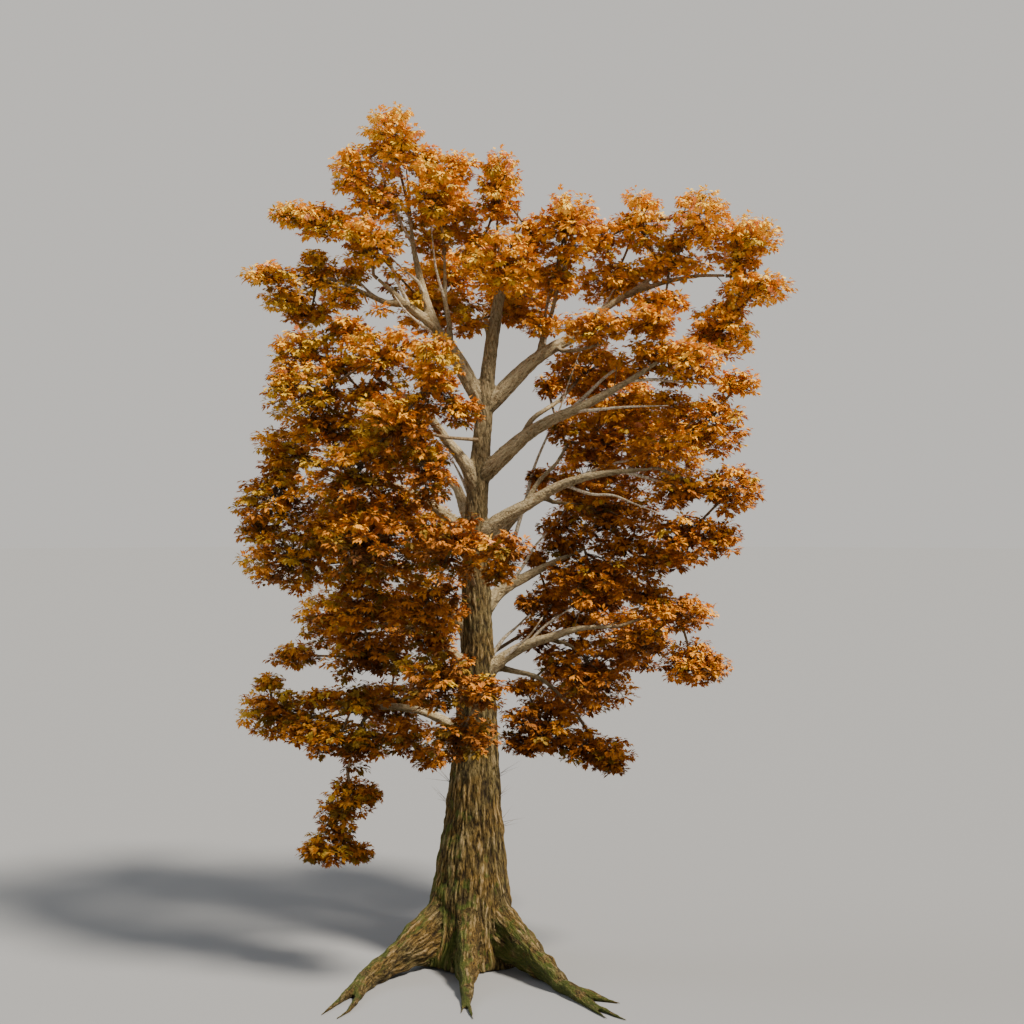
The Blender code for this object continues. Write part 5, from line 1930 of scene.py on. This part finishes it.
    @staticmethod
    def joined_piece(
        name: str, parts: list[MeshArrays], finish: TwigFinish | LeafFinish
    ) -> bpy.types.Object:
        """Makes one piece that rides and stands for the masses.

        Args:
            name: The piece's name.
            parts: The points and triangles of each of its parts.
            finish: Its finish.

        Returns:
            The piece.
        """
        offsets = np.cumsum([0, *(len(places) for places, _ in parts)])
        places = np.vstack([places for places, _ in parts])
        triangles = np.vstack([faces + offset for (_, faces), offset in zip(parts, offsets)])
        piece = new_piece(name, triangle_mesh(name, places, triangles), finish.material())
        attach(piece, BODY)
        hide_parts(*MASSES)
        return piece

    def spray_rows(self, limbs: LimbField) -> SprayRows:
        """Gathers the sprays into arrays.

        Args:
            limbs: Tells which of them are near a limb.

        Returns:
            The arrays.
        """
        shoots = np.array([spray.shoot for spray in self.sprays])
        knobs = vector_rows(shoot.points[-1] for shoot in self.shoots)
        return SprayRows(
            starts=vector_rows(spray.start for spray in self.sprays),
            ends=vector_rows(spray.end for spray in self.sprays),
            shoots=shoots,
            centres=vector_rows(shoot.outline_centre for shoot in self.shoots)[shoots],
            sizes=vector_rows(shoot.outline_sizes for shoot in self.shoots)[shoots],
            knobs=knobs[shoots],
            radii=np.array([shoot.knob for shoot in self.shoots])[shoots],
            depths=np.array([shoot.depth for shoot in self.shoots])[shoots],
            near_limb=(limbs.nearest(knobs)[2] < self.limb_reach)[shoots],
        )

    def one_leaf_each(
        self, number: int, sprays: SprayRows, limbs: LimbField, rng: np.random.Generator
    ) -> LeafRows:
        """Sets one more leaf on every spray.

        Args:
            number: How many leaves the sprays have already.
            sprays: The sprays.
            limbs: Keeps the leaves out of the limbs.
            rng: Draws the leaves.

        Returns:
            The leaves.
        """
        rows = len(sprays.starts)
        dome = np.array((1.0, 1.0, self.knob_flatness))
        steps = number + rng.uniform(0, 1, rows)
        share = self.leaves_from + (1 - self.leaves_from) * steps / self.leaves_per_twig
        scatter = unit_rows(rng.normal(0, 1, (rows, 3)))
        scatter = scatter * (rng.uniform(0, self.leaf_scatter, rows) * sprays.radii)[:, None]
        roots = sprays.starts + (sprays.ends - sprays.starts) * share[:, None] + scatter * dome
        outward = unit_rows((roots - sprays.knobs) / dome**2)
        turned = unit_rows(rng.normal(0, 1, (rows, 3)))
        aim = unit_rows(outward * self.leaf_spread) + self.leaf_stray * turned
        aim[:, 2] -= rng.uniform(*self.leaf_droop, rows)
        aim = unit_rows(aim)
        lengths = rng.uniform(*self.leaf_lengths, rows)
        tips = roots + aim * lengths[:, None]
        wanted = self.inside(tips, sprays)
        tested = wanted & sprays.near_limb
        wanted[tested] = limbs.nearest((roots + tips)[tested] / 2)[2] > self.limb_clearance
        wanted &= self.in_box(tips)
        stray = rng.normal(0, self.facing_stray, (rows, 3))
        across = unit_rows(np.cross(aim, self.facing_outward * outward + self.facing_up + stray))
        axes = np.stack([across, aim, np.cross(across, aim)], axis=1)
        forms = rng.choice(len(LEAF_FORMS), rows, p=[form.share for form in LEAF_FORMS])
        return LeafRows(roots, lengths, axes, forms, wanted)

    def inside(self, tips: np.ndarray, sprays: SprayRows) -> np.ndarray:
        """Whether each tip lies in its clump's outline, or a little past it."""
        return (((tips - sprays.centres) / sprays.sizes) ** 2).sum(1) < self.crown_limit**2

    def in_box(self, tips: np.ndarray) -> np.ndarray:
        """Whether each tip is above the ground and near enough to the solids' box."""
        low, high = (np.array(corner[:]) for corner in CAD_BOUNDS)
        near = (tips > low - self.box_limit) & (tips < high + self.box_limit)
        return (tips[:, 2] > 0) & near.all(1)

    def build_leaves(self) -> list[bpy.types.Object]:
        """The leaves, one or more pieces for each tint."""
        rng = np.random.default_rng(SEED)
        limbs = LimbField(self.plan.limbs)
        sprays = self.spray_rows(limbs)
        tints = TintRule().deal(sprays, len(self.shoots), rng)
        forms = [form.arrays() for form in LEAF_FORMS]
        parts: list[list[MeshArrays]] = [[] for _ in LEAF_TINTS]
        for number in range(self.leaves_per_twig):
            leaves = self.one_leaf_each(number, sprays, limbs, rng)
            for tint, own_parts in enumerate(parts):
                for kind, form in enumerate(forms):
                    chosen = leaves.wanted & (tints == tint) & (leaves.forms == kind)
                    own_parts.append(leaves.meshes(chosen, form))
        pieces = []
        for finish, own_parts in zip(LEAF_TINTS, parts):
            for number, group in enumerate(self.groups(own_parts), start=1):
                name = f"leaves_in_{finish.name}" + (f"_{number}" if number > 1 else "")
                pieces.append(self.joined_piece(name, group, finish))
        return pieces

    def groups(self, parts: list[MeshArrays]) -> Iterator[list[MeshArrays]]:
        """Shares out the parts of one tint among pieces within the limit.

        Args:
            parts: The points and triangles of each part.

        Returns:
            An iterator over the parts of each piece.
        """
        group: list[MeshArrays] = []
        for part in parts:
            if sum(len(faces) for _, faces in group) + len(part[1]) > self.piece_limit:
                yield group
                group = []
            group.append(part)
        yield group


@dataclass(frozen=True)
class Studio:
    """A plain pale floor, soft light and the camera."""

    floor_radius: float = 400.0
    floor_sides: int = 96
    floor_albedo: float = 0.27
    sky_light: float = 0.46
    camera_place: tuple[float, float, float] = (1.0, -33.3, 10.42)
    lens: float = 50.0
    sky_tint: tuple = (0.96, 0.98, 1.0, 1.0)
    horizon_tint: tuple = (1.0, 0.965, 0.91, 1.0)
    key_strength: float = 7.3
    key_from: Pair = (-30.0, 54.0)  # azimuth and pitch of the light, in degrees
    key_angle: float = 12.0
    key_tint: tuple = (1.0, 0.93, 0.82)
    rim_strength: float = 1.0
    rim_from: Pair = (170.0, 35.0)
    rim_angle: float = 30.0
    rim_tint: tuple = (0.82, 0.9, 1.0)

    def build(self) -> None:
        """Sets the stage."""
        self.floor()
        self.camera()
        self.sun("key_light", self.key_from, self.key_strength, self.key_angle, self.key_tint)
        self.sun("rim_light", self.rim_from, self.rim_strength, self.rim_angle, self.rim_tint)
        self.sky()

    def horizon(self) -> float:
        """How bright the floor looks far away, which is the sky's own look."""
        light = self.sky_light
        for strength, (_, pitch) in ((self.key_strength, self.key_from), (self.rim_strength, self.rim_from)):
            light += strength * math.sin(math.radians(pitch)) / math.pi
        return self.floor_albedo * light

    def floor(self) -> None:
        """A very wide level disc."""
        shell = bmesh.new()
        bmesh.ops.create_circle(shell, cap_ends=True, segments=self.floor_sides, radius=self.floor_radius)
        mesh = bpy.data.meshes.new("floor")
        shell.to_mesh(mesh)
        shell.free()
        nodes = Nodes("floor")
        shade = (self.floor_albedo, self.floor_albedo, self.floor_albedo, 1.0)
        material = nodes.finish(Base_Color=shade, Roughness=1.0, Specular_IOR_Level=0.0)
        new_piece("floor", mesh, material)

    def camera(self) -> None:
        """The camera, level, looking along +Y."""
        lens = bpy.data.cameras.new("camera")
        lens.lens = self.lens
        lens.clip_end = 2 * self.floor_radius
        item = new_object("camera", lens)
        item.location = self.camera_place
        item.rotation_euler = (math.pi / 2, 0.0, 0.0)
        bpy.context.scene.camera = item

    @staticmethod
    def sun(name: str, source: Pair, strength: float, angle: float, tint: tuple) -> None:
        """Adds one soft far light.

        Args:
            name: The light's name.
            source: The azimuth and pitch that it comes from, in degrees.
            strength: Its strength.
            angle: How wide it looks, in degrees.
            tint: Its colour.
        """
        light = bpy.data.lights.new(name, "SUN")
        light.energy = strength
        light.angle = math.radians(angle)
        light.color = tint
        new_object(name, light).rotation_euler = heading(*source).to_track_quat("Z", "Y").to_euler()

    def sky(self) -> None:
        """Even light from all round, seen in the colour of the far floor."""
        world = bpy.data.worlds.new("sky")
        world.use_nodes = True
        tree = world.node_tree
        tree.nodes.clear()
        output = tree.nodes.new("ShaderNodeOutputWorld")
        chooser = tree.nodes.new("ShaderNodeMixShader")
        path = tree.nodes.new("ShaderNodeLightPath")
        tree.links.new(path.outputs["Is Camera Ray"], chooser.inputs[0])
        shades = ((self.sky_tint, self.sky_light), (self.horizon_tint, self.horizon()))
        for number, (tint, strength) in enumerate(shades, start=1):
            shade = tree.nodes.new("ShaderNodeBackground")
            shade.inputs["Color"].default_value = tint
            shade.inputs["Strength"].default_value = strength
            tree.links.new(shade.outputs[0], chooser.inputs[number])
        tree.links.new(chooser.outputs[0], output.inputs["Surface"])
        bpy.context.scene.world = world


def main() -> None:
    """Builds the tree's looks, piece by piece, and the studio round it."""
    logging.basicConfig(level=logging.INFO, format="%(message)s")
    plan = TreePlan()
    plan.draw()
    Bark(plan).build()
    Crown(plan).build()
    Studio().build()


if __name__ == "__main__":
    main()
